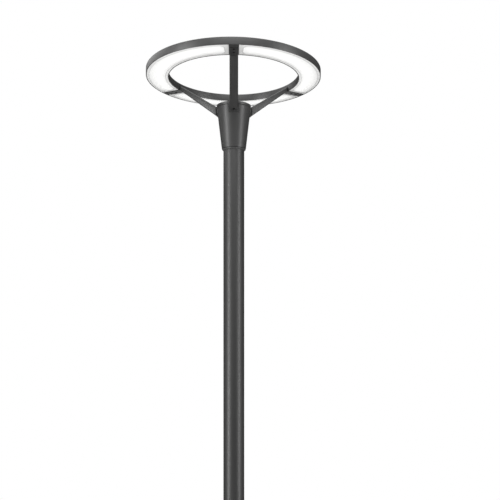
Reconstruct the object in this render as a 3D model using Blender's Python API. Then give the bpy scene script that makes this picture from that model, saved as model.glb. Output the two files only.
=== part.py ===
"""Post-top street lamp: a slim ring of light on three raking arms, a tapered collar and a steel pole.

Metres, +Z up. The origin is the middle of the base's underside and the front arm points along -Y.
"""

import math

import bmesh
import bpy
from mathutils import Matrix, Vector

MM = 0.001

# Clearances
SEAT = 0.3 * MM  # between two pieces that touch
SLIP = 0.5 * MM  # radial play of the collar over the pole
DOOR_PLAY = 1.0 * MM  # all round the door in its opening

# Pole and base
POLE_DIAMETER = 76.1 * MM
POLE_WALL = 3.2 * MM
POLE_TOP = 3.000
BASE_SIDE = 300 * MM
BASE_THICKNESS = 16 * MM
BASE_CORNER = 24 * MM
BASE_EDGE = 2 * MM
SLEEVE_WALL = 8 * MM
SLEEVE_HEIGHT = 44 * MM
SLEEVE_FILLET = 10 * MM
RIB_THICKNESS = 8 * MM
RIB_MARGIN = 14 * MM  # from the rib's toe to the edge of the plate
RIB_TOE = 8 * MM
ANCHOR_SPACING = 200 * MM
ANCHOR_WIDTH = 20 * MM
ANCHOR_LENGTH = 34 * MM
CABLE_ENTRY = 58 * MM

# Inspection door and the gear behind it
DOOR_CENTRE = 0.600
DOOR_WIDTH = 38 * MM
DOOR_HEIGHT = 132 * MM
DOOR_SEAL = 1.5 * MM
DOOR_SEAL_INSET = 3 * MM
BRIDGE_OVERLAP = 3 * MM  # past each edge of the opening
BRIDGE_THICKNESS = 4 * MM
BRIDGE_HEIGHT = 18 * MM
DOOR_BOLT = 6 * MM
DOOR_BOLT_HEAD = 13 * MM
DOOR_BOLT_RISE = 4 * MM
RAIL_WIDTH = 24 * MM
RAIL_THICKNESS = 4 * MM
RAIL_LENGTH = 260 * MM
FUSE_DROP = 36 * MM  # middle of the fuse block below the middle of the door
FUSE_SIZE = (30 * MM, 24 * MM, 78 * MM)
FUSE_EDGE = 1.5 * MM
LEVER_SIZE = (14 * MM, 9 * MM, 36 * MM)
LEVER_EDGE = 1.2 * MM
LEVER_PIN = 4 * MM
LEVER_GRIP = 3.15 * MM  # middle of the finger groove in front of the lever
LEVER_GRIP_DROP = 5.4 * MM
LEVER_EAR = 4 * MM
EARTH_BOLT = 8 * MM
EARTH_HEAD = 13 * MM
EARTH_HEAD_HEIGHT = 5.3 * MM
EARTH_DROP = 104 * MM  # below the middle of the door
CABLE = 8 * MM
CABLE_BEND = 300 * MM  # height over which the cable crosses to the pole's axis
CABLE_BEND_STEPS = 14

# Collar
COLLAR_HEIGHT = 152 * MM
COLLAR_TOP_DIAMETER = 124 * MM
COLLAR_FOOT_DIAMETER = 88 * MM
COLLAR_WALL = 5 * MM
COLLAR_CHAMFER = 2 * MM
SOCKET_DEPTH = 92 * MM
SHELF = 5 * MM
SPIGOT_SEAL = 1.9 * MM
SPIGOT_SEAL_LIP = 9 * MM  # shown under the collar
SPIGOT_SEAL_LIP_WALL = 2 * MM
SPIGOT_SEAL_SEAT = 8 * MM  # inside the mouth
GRUB = 8 * MM
GRUB_HEIGHT = 18 * MM
GRUB_SINK = 1 * MM
CAP_THICKNESS = 4 * MM
CAP_CROWN = 2.5 * MM
CAP_EDGE = 1.5 * MM
CAP_SEAL = 1 * MM
CAP_SEAL_WIDTH = 2.4 * MM
CAP_SCREW = 4 * MM
CAP_SCREW_HEAD = 8 * MM
CAP_SCREW_LENGTH = 14 * MM
CAP_SCREW_HEAD_HEIGHT = 2.4 * MM
PILLAR = 10 * MM
GLAND_BODY = 18 * MM
GLAND_FLANGE = 26 * MM
GLAND_FLANGE_HEIGHT = 5 * MM
GLAND_DROP = 17 * MM
DRIVER_DIAMETER = 84 * MM
DRIVER_ROOM = 14.7 * MM  # left between the driver and the cap
DRIVER_EDGE = 3 * MM
DRIVER_BOLT = 4 * MM
DRIVER_BOLT_HEAD = 7 * MM
DRIVER_BOLT_HEAD_HEIGHT = 3 * MM
DRIVER_BOLT_INSET = 8 * MM
DRIVER_BOLT_BITE = 2.5 * MM  # in the shelf
DRIVER_BOLT_SPARE = 1.5 * MM  # hole left below the screw

# Arms
PAD_REACH = 61 * MM  # flat seats on the collar, from the pole's axis
PAD_WIDTH = 44 * MM
PAD_TOP = 8 * MM  # below the top of the collar
PAD_HEIGHT = 26 * MM
ARM_FOOT_WIDTH = 29.6 * MM
ARM_TIP_WIDTH = 26.8 * MM
ARM_FOOT_LOW = 31 * MM  # foot's lower edge, below the top of the collar
ARM_FOOT_HIGH = 4.5 * MM  # and its upper edge, above it
ARM_SETBACK = 2.2 * MM  # of the foot above the seat, clear of the cap's rim
ARM_TIP_DEPTH = 17 * MM
ARM_EDGE = 0.6 * MM
NECK_LENGTH = 5 * MM
NECK_INSET = 3 * MM
TONGUE_THICKNESS = 1.8 * MM
TONGUE_REACH = 57 * MM  # past the ring's inner wall
FOOT_SCREW = 4 * MM
FOOT_SCREW_HEAD = 7 * MM
FOOT_SCREW_HEAD_HEIGHT = 2.8 * MM
FOOT_SCREW_LENGTH = 8 * MM
FOOT_SCREW_DROP = 25.5 * MM  # below the top of the collar
FOOT_SEAT = 3 * MM  # metal under the screw's head
LEAD = 6 * MM
LEAD_BORE = 7.2 * MM
LEAD_FOOT_DROP = 14.5 * MM  # lead's line below the top of the collar, at the foot
LEAD_TIP_RISE = 10.5 * MM  # and above the ring's underside, at the ring's inner wall

# Ring of light
RING_DIAMETER = 628 * MM
RING_BAND = 79 * MM  # from the inner wall to the outer one
RING_RISE = 96 * MM  # underside above the top of the collar
RING_HEIGHT = 24 * MM
RING_INNER_RISE = 3 * MM  # of the inner wall above the outer one
RING_CHAMFER = 2 * MM
RIM = 3 * MM
LEDGE = 4 * MM
ROOF = 4 * MM
RECESS = 2 * MM  # diffuser's flange above the ring's underside
FLANGE = 2 * MM
FLANGE_WIDTH = 9 * MM
PAN_DROP = 2 * MM
RING_SEAL = 1 * MM
RING_SEAL_WIDTH = 3 * MM
BRIDGE_WIDTH = 31 * MM
BOSS_WIDTH = 14 * MM
BOSS_START = 17 * MM  # this and the next six are past the ring's inner wall
BOSS_END = 65 * MM
TONGUE_SCREW_INNER = 25 * MM
TONGUE_SCREW_OUTER = 49 * MM
BOARD_INNER = 19 * MM
BOARD_OUTER = 61 * MM
PLUG_START = 10.5 * MM
TONGUE_SCREW = 5 * MM
TONGUE_SCREW_HEAD = 9 * MM
TONGUE_SCREW_HEAD_HEIGHT = 1.6 * MM
TONGUE_SCREW_SINK = 0.6 * MM
TONGUE_SCREW_BITE = 6 * MM  # in the ring's boss
BOARD = 1.6 * MM
CHIP_HEIGHT = 1 * MM
CHIP_MARGIN = 7 * MM
PLUG_WIDTH = 13 * MM
PLUG_HEIGHT = 8 * MM

# Screw heads, as shares of their height
KEY_DEPTH = 0.6
HEAD_EASE = 0.25

# Facets
POLE_SIDES = 40
RING_SIDES = 60
SCREW_SIDES = 10
BAY_STEPS = 19
BOARD_STEPS = 17
BAY_END = 3.0  # degrees from an arm's middle to the end of a diffuser
BOARD_END = 9.0
BORE_SIDES = 12

# Derived sizes
POLE_RADIUS = POLE_DIAMETER / 2
TUBE_INNER = POLE_RADIUS - POLE_WALL
HEAD_FOOT = POLE_TOP - SOCKET_DEPTH
SHELF_TOP = SOCKET_DEPTH + SEAT + SHELF
DRIVER_HEIGHT = COLLAR_HEIGHT - CAP_THICKNESS - SHELF_TOP - DRIVER_ROOM
RING_OUTER = RING_DIAMETER / 2
RING_INNER = RING_OUTER - RING_BAND
RING_BOTTOM = COLLAR_HEIGHT + RING_RISE
LEDGE_HEIGHT = RECESS + FLANGE + RING_SEAL + 2 * SEAT
CASTING_TOP = COLLAR_HEIGHT - CAP_THICKNESS - CAP_SEAL - 2 * SEAT
ARM_FOOT = PAD_REACH + SEAT
FOOT_SCREW_HEIGHT = COLLAR_HEIGHT - FOOT_SCREW_DROP
RING_FLAT = math.cos(math.pi / RING_SIDES)  # a facet's middle as a share of its corner's radius
ARM_TIP = RING_INNER * RING_FLAT - SEAT
TONGUE_END = RING_INNER + TONGUE_REACH
TONGUE_SCREWS = {"inner": RING_INNER + TONGUE_SCREW_INNER, "outer": RING_INNER + TONGUE_SCREW_OUTER}
BAY = 120.0
ARMS = {"front": -90.0, "right": 30.0, "left": 150.0}
BAYS = {"right": -90.0, "rear": 30.0, "left": 150.0}
BETWEEN_ARMS = {"rear": 90.0, "left": 210.0, "right": 330.0}


def cone_radius(height):
    """Outer radius of the collar at a height above its mouth."""
    widening = COLLAR_TOP_DIAMETER - COLLAR_FOOT_DIAMETER
    return (COLLAR_FOOT_DIAMETER + widening * height / COLLAR_HEIGHT) / 2


def chord(radius, across):
    """Distance from the axis to a chord that is twice `across` wide, on a circle."""
    return math.sqrt(radius * radius - across * across)


# Finishes: colour, roughness, metallic
FINISHES = {
    "anthracite": ((0.060, 0.060, 0.059), 0.45, 0.0),
    "galvanised": ((0.45, 0.46, 0.47), 0.45, 1.0),
    "stainless": ((0.55, 0.55, 0.54), 0.30, 1.0),
    "opal": ((0.93, 0.93, 0.92), 0.35, 0.0),
    "rubber": ((0.025, 0.025, 0.025), 0.75, 0.0),
    "board": ((0.85, 0.86, 0.84), 0.45, 0.0),
    "black_plastic": ((0.03, 0.03, 0.032), 0.50, 0.0),
    "grey_plastic": ((0.40, 0.41, 0.42), 0.50, 0.0),
    "red_plastic": ((0.45, 0.05, 0.03), 0.45, 0.0),
    "cable_sheath": ((0.035, 0.035, 0.035), 0.60, 0.0),
}


def finish(name):
    """Principled material for one of the lamp's finishes."""
    material = bpy.data.materials.get(name)
    if material is None:
        colour, roughness, metallic = FINISHES[name]
        material = bpy.data.materials.new(name)
        material.use_nodes = True
        shader = material.node_tree.nodes["Principled BSDF"]
        shader.inputs["Base Color"].default_value = (*colour, 1.0)
        shader.inputs["Roughness"].default_value = roughness
        shader.inputs["Metallic"].default_value = metallic
    return material


def turned(profile, sides, start=0.0):
    """A closed (radius, height) profile turned about Z, its first corner row at `start` degrees."""
    bm = bmesh.new()
    turn = Matrix.Rotation(math.radians(start), 4, "Z")
    verts = [bm.verts.new(turn @ Vector((r, 0.0, z))) for r, z in profile]
    pairs = zip(verts, verts[1:] + verts[:1])
    edges = [bm.edges.new(pair) for pair in pairs if any(v.co.xy.length > 0 for v in pair)]
    geom = verts + edges
    full = {"angle": math.tau, "steps": sides, "use_merge": True}
    bmesh.ops.spin(bm, geom=geom, cent=(0, 0, 0), axis=(0, 0, 1), **full)
    bmesh.ops.remove_doubles(bm, verts=bm.verts, dist=1e-6)
    bmesh.ops.dissolve_degenerate(bm, edges=bm.edges, dist=1e-7)
    return bm


def swept(profile, first, last, steps):
    """A closed (radius, height) profile swept about Z from one angle to another, with flat ends."""
    bm = bmesh.new()
    turn = Matrix.Rotation(math.radians(first), 4, "Z")
    face = bm.faces.new([bm.verts.new(turn @ Vector((r, 0.0, z))) for r, z in profile])
    angle = math.radians(last - first)
    geom = [face, *face.edges, *face.verts]
    bmesh.ops.spin(bm, geom=geom, cent=(0, 0, 0), axis=(0, 0, 1), angle=angle, steps=steps)
    return bm


def prism(outline, low, high):
    """An (x, y) outline raised from one height to another."""
    bm = bmesh.new()
    face = bm.faces.new([bm.verts.new((x, y, low)) for x, y in outline])
    raised = bmesh.ops.extrude_face_region(bm, geom=[face])["geom"]
    verts = [v for v in raised if isinstance(v, bmesh.types.BMVert)]
    bmesh.ops.translate(bm, vec=(0, 0, high - low), verts=verts)
    return bm


def block(low, high):
    """A box between two corners."""
    outline = [(low[0], low[1]), (high[0], low[1]), (high[0], high[1]), (low[0], high[1])]
    return prism(outline, low[2], high[2])


def stadium(width, length, steps=8):
    """Round-ended outline, long way along Y."""
    radius = width / 2
    reach = length / 2 - radius
    points = []
    for centre, start in ((reach, 0.0), (-reach, math.pi)):
        for step in range(steps + 1):
            angle = start + math.pi * step / steps
            points.append((radius * math.cos(angle), centre + radius * math.sin(angle)))
    return points


def rounded_square(side, corner, steps=5):
    """Square outline with round corners."""
    reach = side / 2 - corner
    points = []
    for quarter in range(4):
        cx = reach if quarter in (0, 3) else -reach
        cy = reach if quarter in (0, 1) else -reach
        for step in range(steps + 1):
            angle = math.pi / 2 * (quarter + step / steps)
            points.append((cx + corner * math.cos(angle), cy + corner * math.sin(angle)))
    return points


def moved(bm, matrix):
    """The same mesh, carried by a matrix."""
    bmesh.ops.transform(bm, matrix=matrix, verts=bm.verts)
    return bm


def eased(bm, width):
    """The same mesh with a small flat on each sharp outer edge."""
    bmesh.ops.recalc_face_normals(bm, faces=bm.faces)
    sharp = [edge for edge in bm.edges if edge.is_convex and edge.calc_face_angle() > math.radians(40)]
    bmesh.ops.bevel(bm, geom=sharp, offset=width, segments=1, affect="EDGES", clamp_overlap=True)
    return bm


def facing(direction, place=(0, 0, 0)):
    """Carries a mesh turned about Z so that +Z points along a direction and the origin lies at a place."""
    return Matrix.Translation(place) @ Vector(direction).to_track_quat("Z", "Y").to_matrix().to_4x4()


def about_z(degrees):
    return Matrix.Rotation(math.radians(degrees), 4, "Z")


def rod(diameter, length, sides=BORE_SIDES):
    """A round bar that stands on the origin, with a flat towards +X."""
    return turned([(0, 0), (diameter / 2, 0), (diameter / 2, length), (0, length)], sides, 180 / sides)


def screw(shank, shank_length, head, head_height, sides=SCREW_SIDES):
    """A screw pointing down, its head's underside at the origin, with a round key recess in the head."""
    key = head / 4
    floor = head_height * (1 - KEY_DEPTH)
    ease = head_height * HEAD_EASE
    profile = [
        (0, -shank_length),
        (shank / 2, -shank_length),
        (shank / 2, 0),
        (head / 2, 0),
        (head / 2, head_height - ease),
        (head / 2 - ease, head_height),
        (key, head_height),
        (key, floor),
        (0, floor),
    ]
    return turned(profile, sides)


def shaped(name, bm, sharp=32.0):
    """An object from a mesh in hand, its faces turned outwards and shaded by angle."""
    bmesh.ops.recalc_face_normals(bm, faces=bm.faces)
    mesh = bpy.data.meshes.new(name)
    bm.to_mesh(mesh)
    bm.free()
    mesh.shade_smooth()
    mesh.set_sharp_from_angle(angle=math.radians(sharp))
    thing = bpy.data.objects.new(name, mesh)
    bpy.context.collection.objects.link(thing)
    return thing


def place(thing, carrier, coat, turn=0.0):
    """Hangs an object on its carrier, turned about the pole's axis, in its finish."""
    thing.parent = carrier
    thing.rotation_euler = (0, 0, math.radians(turn))
    if not thing.data.materials:
        thing.data.materials.append(finish(coat))
    return thing


def combine(target, operation, *meshes):
    """Cuts meshes out of an object, adds them or keeps what they share, all in one step."""
    tools = bpy.data.collections.new(f"{target.name}_tools")
    bpy.context.scene.collection.children.link(tools)
    for bm in meshes:
        tool = shaped(f"{target.name}_tool", bm)
        bpy.context.collection.objects.unlink(tool)
        tools.objects.link(tool)
        tool.hide_render = True
        tool.display_type = "WIRE"
    if target.modifiers:
        target.modifiers.new("flat_faces", "TRIANGULATE")
    step = target.modifiers.new(operation.lower(), "BOOLEAN")
    step.operation = operation
    step.solver = "EXACT"
    step.operand_type = "COLLECTION"
    step.collection = tools


def settled(thing):
    """Applies an object's modifiers and drops the meshes that cut it."""
    bpy.context.view_layer.update()
    groups = [step.collection for step in thing.modifiers if step.type == "BOOLEAN"]
    mesh = bpy.data.meshes.new_from_object(thing.evaluated_get(bpy.context.evaluated_depsgraph_get()))
    thing.modifiers.clear()
    thing.data = mesh
    for group in groups:
        for tool in list(group.objects):
            bpy.data.objects.remove(tool)
        bpy.data.collections.remove(group)
    return thing


def copies(first, carrier, coat, turns, name):
    """One object per turn about the pole's axis, sharing the first one's mesh."""
    for key, turn in turns.items():
        place(bpy.data.objects.new(f"{name}_{key}", first.data), carrier, coat, turn)
        bpy.context.collection.objects.link(bpy.data.objects[f"{name}_{key}"])
    bpy.data.objects.remove(first)


def carrier(name, at):
    """An empty that carries one rigid body."""
    empty = bpy.data.objects.new(name, None)
    empty.location = at
    bpy.context.collection.objects.link(empty)
    return empty


def base(post):
    """Cast base: square plate with anchor slots, a sleeve round the pole's foot and four ribs."""
    bore = POLE_RADIUS + SEAT
    sleeve = bore + SLEEVE_WALL
    top = BASE_THICKNESS + SLEEVE_HEIGHT
    plate = eased(prism(rounded_square(BASE_SIDE, BASE_CORNER), 0, BASE_THICKNESS), BASE_EDGE)
    plate = shaped("base_flange", plate)
    half = RIB_THICKNESS / 2
    toe = BASE_SIDE / 2 - RIB_MARGIN
    low = BASE_THICKNESS / 2
    heart = POLE_RADIUS / 2
    shoulder = top - SLEEVE_FILLET
    rib = [(heart, low), (toe, low), (toe, BASE_THICKNESS + RIB_TOE), (bore, shoulder), (heart, shoulder)]
    upright = Matrix.Rotation(math.pi / 2, 4, "X")
    ribs = [moved(prism(rib, -half, half), about_z(turn) @ upright) for turn in (0, 90, 180, 270)]
    shell = [
        (0, low),
        (sleeve + SLEEVE_FILLET, low),
        (sleeve + SLEEVE_FILLET, BASE_THICKNESS - BASE_EDGE),
        (sleeve, BASE_THICKNESS + SLEEVE_FILLET),
        (sleeve, top - SLEEVE_WALL / 2),
        (sleeve - SLEEVE_WALL / 2, top),
        (0, top),
    ]
    combine(plate, "UNION", turned(shell, POLE_SIDES), *ribs)
    hollow = [
        (0, -low),
        (CABLE_ENTRY / 2, -low),
        (CABLE_ENTRY / 2, BASE_THICKNESS),
        (bore, BASE_THICKNESS),
        (bore, top + low),
        (0, top + low),
    ]
    corner = Matrix.Translation((ANCHOR_SPACING / math.sqrt(2), 0, 0))
    slots = []
    for turn in (45, 135, 225, 315):
        slots.append(moved(prism(stadium(ANCHOR_WIDTH, ANCHOR_LENGTH), -low, top), about_z(turn) @ corner))
    combine(plate, "DIFFERENCE", turned(hollow, POLE_SIDES), *slots)
    place(settled(plate), post, "anthracite")


def door_blank(width, height, low, high):
    """Door-shaped prism along -Y, from one distance off the axis to another, about the door's centre."""
    bm = prism(stadium(width, height), low, high)
    return moved(bm, Matrix.Rotation(math.pi / 2, 4, "X"))


def tube_ring(inner, outer, low, high):
    return turned([(outer, high), (outer, low), (inner, low), (inner, high)], POLE_SIDES)


def pole(post):
    """Straight steel tube with the inspection opening near its foot."""
    tube = shaped("pole_tube", tube_ring(TUBE_INNER, POLE_RADIUS, BASE_THICKNESS + SEAT, POLE_TOP))
    opening = door_blank(DOOR_WIDTH, DOOR_HEIGHT, TUBE_INNER / 4, POLE_DIAMETER)
    combine(tube, "DIFFERENCE", moved(opening, Matrix.Translation((0, 0, DOOR_CENTRE))))
    place(settled(tube), post, "anthracite")


def bolt_way(diameter, start, end):
    """Round cutter along -Y through the door's middle, between two distances off the axis."""
    return moved(rod(diameter, end - start), facing((0, -1, 0), (0, -start, 0)))


def door(hung, key):
    """Curved lift-off door with a flat seal behind it and one key screw through its middle."""
    play = 2 * DOOR_PLAY
    reach = DOOR_HEIGHT / 2
    hole = DOOR_BOLT + 2 * SEAT
    panel = shaped("door_panel", tube_ring(TUBE_INNER, POLE_RADIUS, -reach, reach))
    blank = door_blank(DOOR_WIDTH - play, DOOR_HEIGHT - play, TUBE_INNER / 4, POLE_DIAMETER)
    combine(panel, "INTERSECT", blank)
    combine(panel, "DIFFERENCE", bolt_way(hole, TUBE_INNER / 2, POLE_DIAMETER))
    place(settled(panel), hung, "anthracite")

    inset = play + 2 * DOOR_SEAL_INSET
    outer = TUBE_INNER - SEAT
    seal = shaped("door_seal", tube_ring(outer - DOOR_SEAL, outer, -reach, reach))
    blank = door_blank(DOOR_WIDTH - inset, DOOR_HEIGHT - inset, TUBE_INNER / 4, POLE_DIAMETER)
    combine(seal, "INTERSECT", blank)
    combine(seal, "DIFFERENCE", bolt_way(hole, TUBE_INNER / 2, POLE_DIAMETER))
    place(settled(seal), hung, "rubber")

    seat = POLE_RADIUS + SEAT
    length = seat - bridge_front() + BRIDGE_THICKNESS
    bolt = screw(DOOR_BOLT, length, DOOR_BOLT_HEAD, DOOR_BOLT_RISE)
    place(shaped("door_screw", moved(bolt, facing((0, -1, 0), (0, -seat, 0)))), key, "stainless")


def bridge_front():
    """Front of the threaded bridge, off the axis: its corners seat on the tube beside the opening."""
    return chord(TUBE_INNER - SEAT - tube_sag(), DOOR_WIDTH / 2 + BRIDGE_OVERLAP)


def tube_sag():
    """How far the tube's inner facets lie inside its true bore."""
    return TUBE_INNER * (1 - math.cos(math.pi / POLE_SIDES))


def gear(post):
    """What the tube holds behind the door: bridge, rail, fuse block and earth bolt."""
    front = bridge_front()
    half = DOOR_WIDTH / 2 + BRIDGE_OVERLAP
    rise = BRIDGE_HEIGHT / 2
    bar = shaped("door_bridge", block((-half, -front, -rise), (half, -front + BRIDGE_THICKNESS, rise)))
    combine(bar, "DIFFERENCE", bolt_way(DOOR_BOLT + 2 * SEAT, front - 2 * BRIDGE_THICKNESS, POLE_RADIUS))
    settled(bar).location = (0, 0, DOOR_CENTRE)
    place(bar, post, "galvanised")

    back = rail_back()
    face = back - RAIL_THICKNESS
    low = DOOR_CENTRE - FUSE_DROP - RAIL_LENGTH / 2
    bar = block((-RAIL_WIDTH / 2, face, low), (RAIL_WIDTH / 2, back, low + RAIL_LENGTH))
    rail = shaped("mounting_rail", bar)
    earth = facing((0, -1, 0), (0, face - SEAT, DOOR_CENTRE - EARTH_DROP))
    hole = rod(EARTH_BOLT + 2 * SEAT, 3 * RAIL_THICKNESS)
    combine(rail, "DIFFERENCE", moved(hole, earth @ Matrix.Translation((0, 0, -2 * RAIL_THICKNESS))))
    place(settled(rail), post, "galvanised")

    bolt = screw(EARTH_BOLT, RAIL_THICKNESS, EARTH_HEAD, EARTH_HEAD_HEIGHT, 6)
    place(shaped("earth_bolt", moved(bolt, earth)), post, "stainless")

    width, depth, height = FUSE_SIZE
    middle = DOOR_CENTRE - FUSE_DROP
    back = face - SEAT
    foot = middle - height / 2
    body = block((-width / 2, back - depth, foot), (width / 2, back, foot + height))
    fuse = shaped("fuse_block", eased(body, FUSE_EDGE))
    pivot = lever_pivot()
    ears = []
    for side in (-1, 1):
        edges = sorted(side * (LEVER_SIZE[0] / 2 + SEAT + thick) for thick in (0, LEVER_EAR))
        low = (edges[0], pivot.y - LEVER_PIN, pivot.z - LEVER_PIN)
        ears.append(block(low, (edges[1], back - depth / 2, pivot.z + LEVER_PIN)))
    combine(fuse, "UNION", *ears)
    hole = moved(rod(LEVER_PIN + 2 * SEAT, 2 * width), facing((1, 0, 0), pivot - Vector((width, 0, 0))))
    entry = Matrix.Translation((0, cable_start().y, foot + height - CABLE))
    combine(fuse, "DIFFERENCE", hole, moved(rod(CABLE + 2 * SEAT, depth), entry))
    place(settled(fuse), post, "grey_plastic")


def rail_back():
    return chord(TUBE_INNER - SEAT - tube_sag(), RAIL_WIDTH / 2)


def lever_pivot():
    """The fuse lever's axis, low down in front of the fuse block."""
    face = rail_back() - RAIL_THICKNESS - SEAT - FUSE_SIZE[1]
    height = DOOR_CENTRE - FUSE_DROP - LEVER_SIZE[2] / 2 + LEVER_PIN
    return Vector((0, face - SEAT - LEVER_SIZE[1] / 2, height))


def fuse_lever(swing):
    """Fuse carrier that tilts out of the block about its pin."""
    width, depth, height = LEVER_SIZE
    high = height - LEVER_PIN
    body = block((-width / 2, -depth / 2, 0), (width / 2, depth / 2, high))
    lever = shaped("fuse_lever", eased(body, LEVER_EDGE))
    inset = LEVER_EDGE - width / 2
    heel = moved(rod(depth, -2 * inset), facing((1, 0, 0), (inset, 0, 0)))
    reach = width / 2 + LEVER_EAR
    pin = moved(rod(LEVER_PIN, 2 * reach), facing((1, 0, 0), (-reach, 0, 0)))
    combine(lever, "UNION", heel, pin)
    grip = facing((1, 0, 0), (-width, -depth / 2 - LEVER_GRIP, high - LEVER_GRIP_DROP))
    combine(lever, "DIFFERENCE", moved(rod(depth, 2 * width), grip))
    place(settled(lever), swing, "red_plastic")


def cable_start():
    """Where the pole cable leaves the top of the fuse block."""
    height = DOOR_CENTRE - FUSE_DROP + FUSE_SIZE[2] / 2
    return Vector((0, rail_back() - RAIL_THICKNESS - FUSE_SIZE[1] / 2, height))


def pole_cable(post):
    """Supply cable: from the fuse block over to the pole's axis and up into the driver's underside."""
    start = cable_start() - Vector((0, 0, CABLE - SEAT))
    top = HEAD_FOOT + SHELF_TOP + CABLE
    points = []
    for step in range(CABLE_BEND_STEPS + 1):
        share = step / CABLE_BEND_STEPS
        ease = share * share * (3 - 2 * share)
        points.append((0, start.y * (1 - ease), start.z + CABLE + CABLE_BEND * share))
    points.insert(0, tuple(start))
    points.append((0, 0, (points[-1][2] + top) / 2))
    points.append((0, 0, top))
    curve = bpy.data.curves.new("pole_cable", "CURVE")
    curve.dimensions = "3D"
    curve.bevel_depth = CABLE / 2
    curve.bevel_resolution = 2
    curve.use_fill_caps = True
    line = curve.splines.new("POLY")
    line.points.add(len(points) - 1)
    for point, at in zip(line.points, points):
        point.co = (*at, 1)
    thing = bpy.data.objects.new("pole_cable", curve)
    bpy.context.collection.objects.link(thing)
    place(thing, post, "cable_sheath")


def lead_line(reach):
    """Height of an arm's lead above the collar's mouth, at a distance from the pole's axis."""
    low = COLLAR_HEIGHT - LEAD_FOOT_DROP
    high = RING_BOTTOM + LEAD_TIP_RISE
    return low + (high - low) * (reach - ARM_FOOT) / (RING_INNER - ARM_FOOT)


def lead_rod(diameter, start, end, sides=BORE_SIDES):
    """A round bar along the lead's line, between two distances from the pole's axis."""
    low = Vector((start, 0, lead_line(start)))
    high = Vector((end, 0, lead_line(end)))
    return moved(rod(diameter, (high - low).length, sides), facing(high - low, low))


def grub_hole(turn, diameter, start, end):
    bm = moved(rod(diameter, end - start), facing((1, 0, 0), (start, 0, GRUB_HEIGHT)))
    return moved(bm, about_z(turn))


def pillar_reach():
    """Distance of the cap screws from the axis: inside the seal, against the collar's wall."""
    return cone_radius(CASTING_TOP) - COLLAR_WALL - PILLAR / 4


def collar(head):
    """Tapered cast collar: a socket over the pole's top, a shelf, a chamber and three flat arm seats."""
    outer = [
        (0, 0),
        (cone_radius(0) - COLLAR_CHAMFER, 0),
        (cone_radius(COLLAR_CHAMFER), COLLAR_CHAMFER),
        (cone_radius(CASTING_TOP), CASTING_TOP),
        (0, CASTING_TOP),
    ]
    body = shaped("spigot_collar", turned(outer, POLE_SIDES))
    low = COLLAR_HEIGHT - PAD_TOP - PAD_HEIGHT
    corners = (PAD_REACH / 2, -PAD_WIDTH / 2, low), (PAD_REACH, PAD_WIDTH / 2, low + PAD_HEIGHT)
    combine(body, "UNION", *[moved(block(*corners), about_z(turn)) for turn in ARMS.values()])
    seal = POLE_RADIUS + SPIGOT_SEAL + 2 * SEAT
    hollow = [
        (0, -SHELF),
        (seal, -SHELF),
        (seal, SPIGOT_SEAL_SEAT + SEAT),
        (POLE_RADIUS + SLIP, SPIGOT_SEAL_SEAT + SEAT),
        (POLE_RADIUS + SLIP, SOCKET_DEPTH + SEAT),
        (CABLE / 2 + 2 * SEAT, SOCKET_DEPTH + SEAT),
        (CABLE / 2 + 2 * SEAT, SHELF_TOP),
        (cone_radius(SHELF_TOP) - COLLAR_WALL, SHELF_TOP),
        (cone_radius(CASTING_TOP) - COLLAR_WALL, CASTING_TOP),
        (cone_radius(CASTING_TOP) - COLLAR_WALL, CASTING_TOP + SHELF),
        (0, CASTING_TOP + SHELF),
    ]
    combine(body, "DIFFERENCE", turned(hollow, POLE_SIDES))
    root, top = SHELF_TOP - SHELF / 2, CASTING_TOP - SEAT
    reach = pillar_reach()
    pillars = []
    holes = []
    for turn in BETWEEN_ARMS.values():
        foot = Matrix.Translation((reach, 0, root))
        pillars.append(moved(rod(PILLAR, top - root), about_z(turn) @ foot))
        end = Matrix.Translation((reach, 0, CASTING_TOP - CAP_SCREW_LENGTH))
        hole = rod(CAP_SCREW + 2 * SEAT, CAP_SCREW_LENGTH + SHELF)
        holes.append(moved(hole, about_z(turn) @ end))
        holes.append(grub_hole(turn, GRUB + 2 * SEAT, POLE_RADIUS - POLE_WALL, PAD_REACH))
    for turn in ARMS.values():
        holes.append(moved(lead_rod(LEAD_BORE, PAD_REACH / 2, PAD_REACH + LEAD_BORE), about_z(turn)))
        inwards = facing((-1, 0, 0), (PAD_REACH + SHELF, 0, FOOT_SCREW_HEIGHT))
        drill = rod(FOOT_SCREW + 2 * SEAT, FOOT_SCREW_LENGTH - FOOT_SEAT + SHELF)
        holes.append(moved(drill, about_z(turn) @ inwards))
    for side in (-1, 1):
        end = SHELF_TOP - DRIVER_BOLT_BITE - DRIVER_BOLT_SPARE
        at = Matrix.Translation((side * driver_bolt_reach(), 0, end))
        holes.append(moved(rod(DRIVER_BOLT + 2 * SEAT, 2 * SHELF), at))
    combine(body, "UNION", *pillars)
    combine(body, "DIFFERENCE", *holes)
    place(settled(body), head, "anthracite")

    bore = POLE_RADIUS + SEAT
    lip = bore + SPIGOT_SEAL_LIP_WALL
    rim = POLE_RADIUS + SPIGOT_SEAL + SEAT
    ring = [
        (bore, SPIGOT_SEAL_SEAT),
        (bore, -SPIGOT_SEAL_LIP),
        (lip, -SPIGOT_SEAL_LIP),
        (lip, -SEAT),
        (rim, SEAT),
        (rim, SPIGOT_SEAL_SEAT),
    ]
    place(shaped("spigot_seal", turned(ring, POLE_SIDES)), head, "rubber")

    start = POLE_RADIUS + SEAT
    length = cone_radius(GRUB_HEIGHT) - GRUB_SINK - start
    grub = turned(
        [
            (0, 0),
            (GRUB / 2 - GRUB_SINK, 0),
            (GRUB / 2, GRUB_SINK),
            (GRUB / 2, length),
            (GRUB / 4, length),
            (GRUB / 4, length / 2),
            (0, length / 2),
        ],
        SCREW_SIDES,
    )
    moved(grub, facing((1, 0, 0), (start, 0, GRUB_HEIGHT)))
    copies(shaped("grub", grub), head, "stainless", BETWEEN_ARMS, "grub_screw")


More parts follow.
